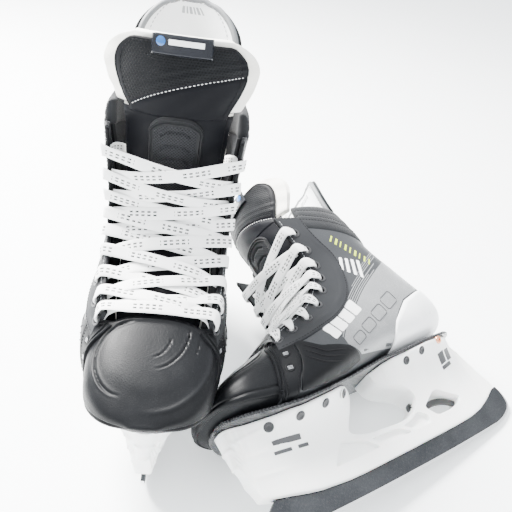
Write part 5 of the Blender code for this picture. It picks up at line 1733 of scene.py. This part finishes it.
def over_tongue(v, w, lift):
    behind, here, ahead = spline(FRONT, max(v - .3, 0)), spline(FRONT, v), spline(FRONT, min(v + .3, 9))
    up = unit(ahead - here if v <= 8.6 else here - behind)
    out = np.array((up[1], -up[0]))
    arch = float(np.interp(v, (0, 2, 6, 9), (5.2, 6.2, 8.6, 9.6)))
    x, z = here + out * (arch * (1 - abs(w) ** 2.4) + lift)
    return np.array((x, float(spline(THROAT, v)) * w, z)), np.array((up[0], 0, up[1])), 9.2, 1.15


def into_eyelet(k, side):
    centre, normal, out, up = surface_frame(eyelet_v(k), 1, side, 1.7)
    steps = [(10.4, 2.0, 9.0, 1.15), (6.6, 2.7, 8.6, 1.2), (3.4, 2.2, 6.8, 1.4), (1.2, 1.2, 5.0, 1.9),
             (.1, -.9, 4.4, 2.1), (1.0, -3.2, 4.8, 1.8), (9, -4.4, 8.6, 1.2)]
    return [(centre + out * a + normal * b, up, w, t) for a, b, w, t in steps]


def cross_tongue(k, side, layer):
    start, end = eyelet_v(k), eyelet_v(k + 1)
    slack = .35 * math.sin(k * 2.1 + side)
    return [over_tongue(start + (end - start) * (w + 1) / 2, -w * side,
                        (layer * 1.25 + slack) * (1 - abs(w) ** 2) + .2) for w in (-.6, -.3, 0, .3, .6)]


def lace_end(k, side):
    centre, normal, out, _ = surface_frame(eyelet_v(k), 1, side, 1.7)
    up = np.array((0, 0, 1.0))
    steps = [(-4, -6, 0), (-13, -11.5, -2), (-24, -17, -8), (-31, -21, -20), (-34, -23, -34)]
    return [(centre + out * a + normal * b + np.array((0, 0, c)), up if c > -15 else out, 7, 1.3) for a, b, c in steps]


def half_lace(side):
    stations = []
    for k in range(EYELETS):
        stations += into_eyelet(k, side)
        if k == EYELETS - 1:
            return stations[:-1] + lace_end(k, side)
        stations += cross_tongue(k, side, 1 if (side < 0) == (k % 2 == 0) else -1)
        side = -side
    return stations


def make_lace():
    bar = [over_tongue(eyelet_v(0), w, .8) for w in (-.6, -.2, .2, .6)]
    stations = half_lace(-1)[::-1] + bar + half_lace(1)
    spots, owners = centripetal([s[0] for s in stations], 1.1)
    wide = np.array([s[1] for s in stations], float)
    for k in range(1, len(wide)):
        if wide[k].dot(wide[k - 1]) < 0:
            wide[k] = -wide[k]
    widths, thick = np.array([s[2] for s in stations]), np.array([s[3] for s in stations])
    index = np.arange(len(stations))
    across = unit(np.stack([np.interp(owners, index, wide[:, c]) for c in range(3)], axis=1))
    half = np.interp(owners, index, widths) / 2
    deep = np.interp(owners, index, thick) / 2
    tangent = unit(np.gradient(spots, axis=0))
    across = unit(across - tangent * np.sum(across * tangent, axis=1)[:, None])
    flat = np.cross(tangent, across)
    length = np.concatenate([[0], np.cumsum(np.linalg.norm(np.diff(spots, axis=0), axis=1))])
    twist = .17 * np.sin(length * .045) + .08 * np.sin(length * .11 + 1)
    across, flat = (across * np.cos(twist)[:, None] + flat * np.sin(twist)[:, None],
                    flat * np.cos(twist)[:, None] - across * np.sin(twist)[:, None])
    section = [(1, .25), (.9, .8), (.5, 1), (0, 1.05), (-.5, 1), (-.9, .8), (-1, .25),
               (-1, -.25), (-.9, -.8), (-.5, -1), (0, -1.05), (.5, -1), (.9, -.8), (1, -.25)]
    rings, run = [], []
    for k in range(len(spots)):
        rings.append([spots[k] + across[k] * a * half[k] + flat[k] * b * deep[k] for a, b in section])
        run.append([(length[k], a * 4.5, b) for a, b in section])
    rings, run = np.array(rings), np.array(run)
    n, c = rings.shape[:2]
    form = Form().add(rings, quads(n, c, ring=True) + [tuple(range(c))[::-1], tuple(range((n - 1) * c, n * c))], run=run)
    emit("lace", form, LACE, replaces=["lace"])
    return length[-1]


# ---- small metal --------------------------------------------------------------------------------------
def make_pin_and_spring():
    pin = Form()
    turned(pin, np.array((-37.5, 0, 46.5)), (0, 1, 0), [(0, 9.2), (1.2, 9.2), (1.5, 8.9), (1.5, -8.9), (1.2, -9.2)])
    emit("trigger_pin", pin, DARK_METAL, replaces=["trigger_pin"])
    coil = [(-37.5 + 2.75 * math.cos(a), 1.6 + 1.7 * a / (4 * math.pi), 46.5 + 2.75 * math.sin(a))
            for a in np.linspace(0, 4 * math.pi, 80)]
    emit("trigger_spring", Form().add(*tube(np.array(coil), .35, 8)), STEEL, replaces=["trigger_spring"])


make_shell()
for flank in (1, -1):
    make_facing(flank)
    make_bands(flank)
    make_overlay(flank)
make_heel()
make_prints()
make_cap()
make_outsole()
make_holder()
make_rivets()
make_holder_prints()
make_runner()
make_steel_line()
make_trigger()
make_pin_and_spring()
make_collar()
make_liner()
make_tongue()
make_tongue_top()
make_guard()
make_lace()


# ---- stage ------------------------------------------------------------------------------------------
def floor_material():
    m = Nodes("studio_floor", (.84, .86, .87), .6, Emission_Strength=.56, Emission_Color=(.93, .965, .98, 1))
    m.mix(m.ramp(m.noise(m.pat, .004, 2), .3, .7, 0, .5), (.87, .885, .89))
    m.roughness(m.noise(m.pat, .01, 2), .55, .65)
    return m.material


def make_stage():
    rows, cols = 24, 24
    grid = np.array([[(-3.2 + 6.4 * j / (cols - 1), -1.9 + 5.0 * i / (rows - 1), -.0005) for j in range(cols)]
                     for i in range(rows)])
    mesh = bpy.data.meshes.new("floor")
    mesh.from_pydata([tuple(p) for p in grid.reshape(-1, 3)], [], quads(rows, cols))
    pat = mesh.attributes.new("pat", "FLOAT_VECTOR", "POINT")
    pat.data.foreach_set("vector", (grid.reshape(-1, 3) * 1000).astype(np.float32).ravel())
    mesh.materials.append(floor_material())
    floor = bpy.data.objects.new("floor", mesh)
    bpy.context.scene.collection.objects.link(floor)
    world = bpy.data.worlds.new("studio")
    world.use_nodes = True
    tree = world.node_tree
    back = tree.nodes["Background"]
    place = tree.nodes.new("ShaderNodeTexCoord")
    parts = tree.nodes.new("ShaderNodeSeparateXYZ")
    ramp = tree.nodes.new("ShaderNodeMapRange")
    for key, number in (("From Min", -.1), ("From Max", .9), ("To Min", 1.3), ("To Max", 3.3)):
        ramp.inputs[key].default_value = number
    tree.links.new(place.outputs["Generated"], parts.inputs[0])
    tree.links.new(parts.outputs["Z"], ramp.inputs["Value"])
    tree.links.new(ramp.outputs["Result"], back.inputs["Strength"])
    back.inputs["Color"].default_value = (.94, .97, 1, 1)
    bpy.context.scene.world = world
    for name, place, target, size, power, tint in (
            ("key", (-.8, .6, 1.3), (.05, -.05, .08), .9, 330, (1, .99, .97)),
            ("fill", (.9, -.9, 1.1), (.05, 0, .12), 1.0, 5, (.97, .99, 1)),
            ("front", (-.5, -1.2, .9), (.05, 0, .12), 1.0, 2.5, (1, 1, 1))):
        data = bpy.data.lights.new(name, "AREA")
        data.shape, data.size, data.energy, data.color = "DISK", size, power, tint
        lamp = bpy.data.objects.new(name, data)
        lamp.location = place
        lamp.rotation_euler = (Vector(target) - Vector(place)).to_track_quat("-Z", "Y").to_euler()
        bpy.context.scene.collection.objects.link(lamp)
    data = bpy.data.cameras.new("camera")
    data.lens, data.sensor_width = 42.9, 36
    camera = bpy.data.objects.new("camera", data)
    ahead = Vector((.100, .831, -.547)).normalized()
    right = Vector((.990, -.029, .138))
    right = (right - ahead * right.dot(ahead)).normalized()
    up = right.cross(ahead)
    camera.matrix_world = Matrix.Translation((.0211, -.4185, .4086)) @ Matrix((
        (right.x, up.x, -ahead.x), (right.y, up.y, -ahead.y), (right.z, up.z, -ahead.z))).to_4x4()
    bpy.context.scene.collection.objects.link(camera)
    bpy.context.scene.camera = camera


make_stage()
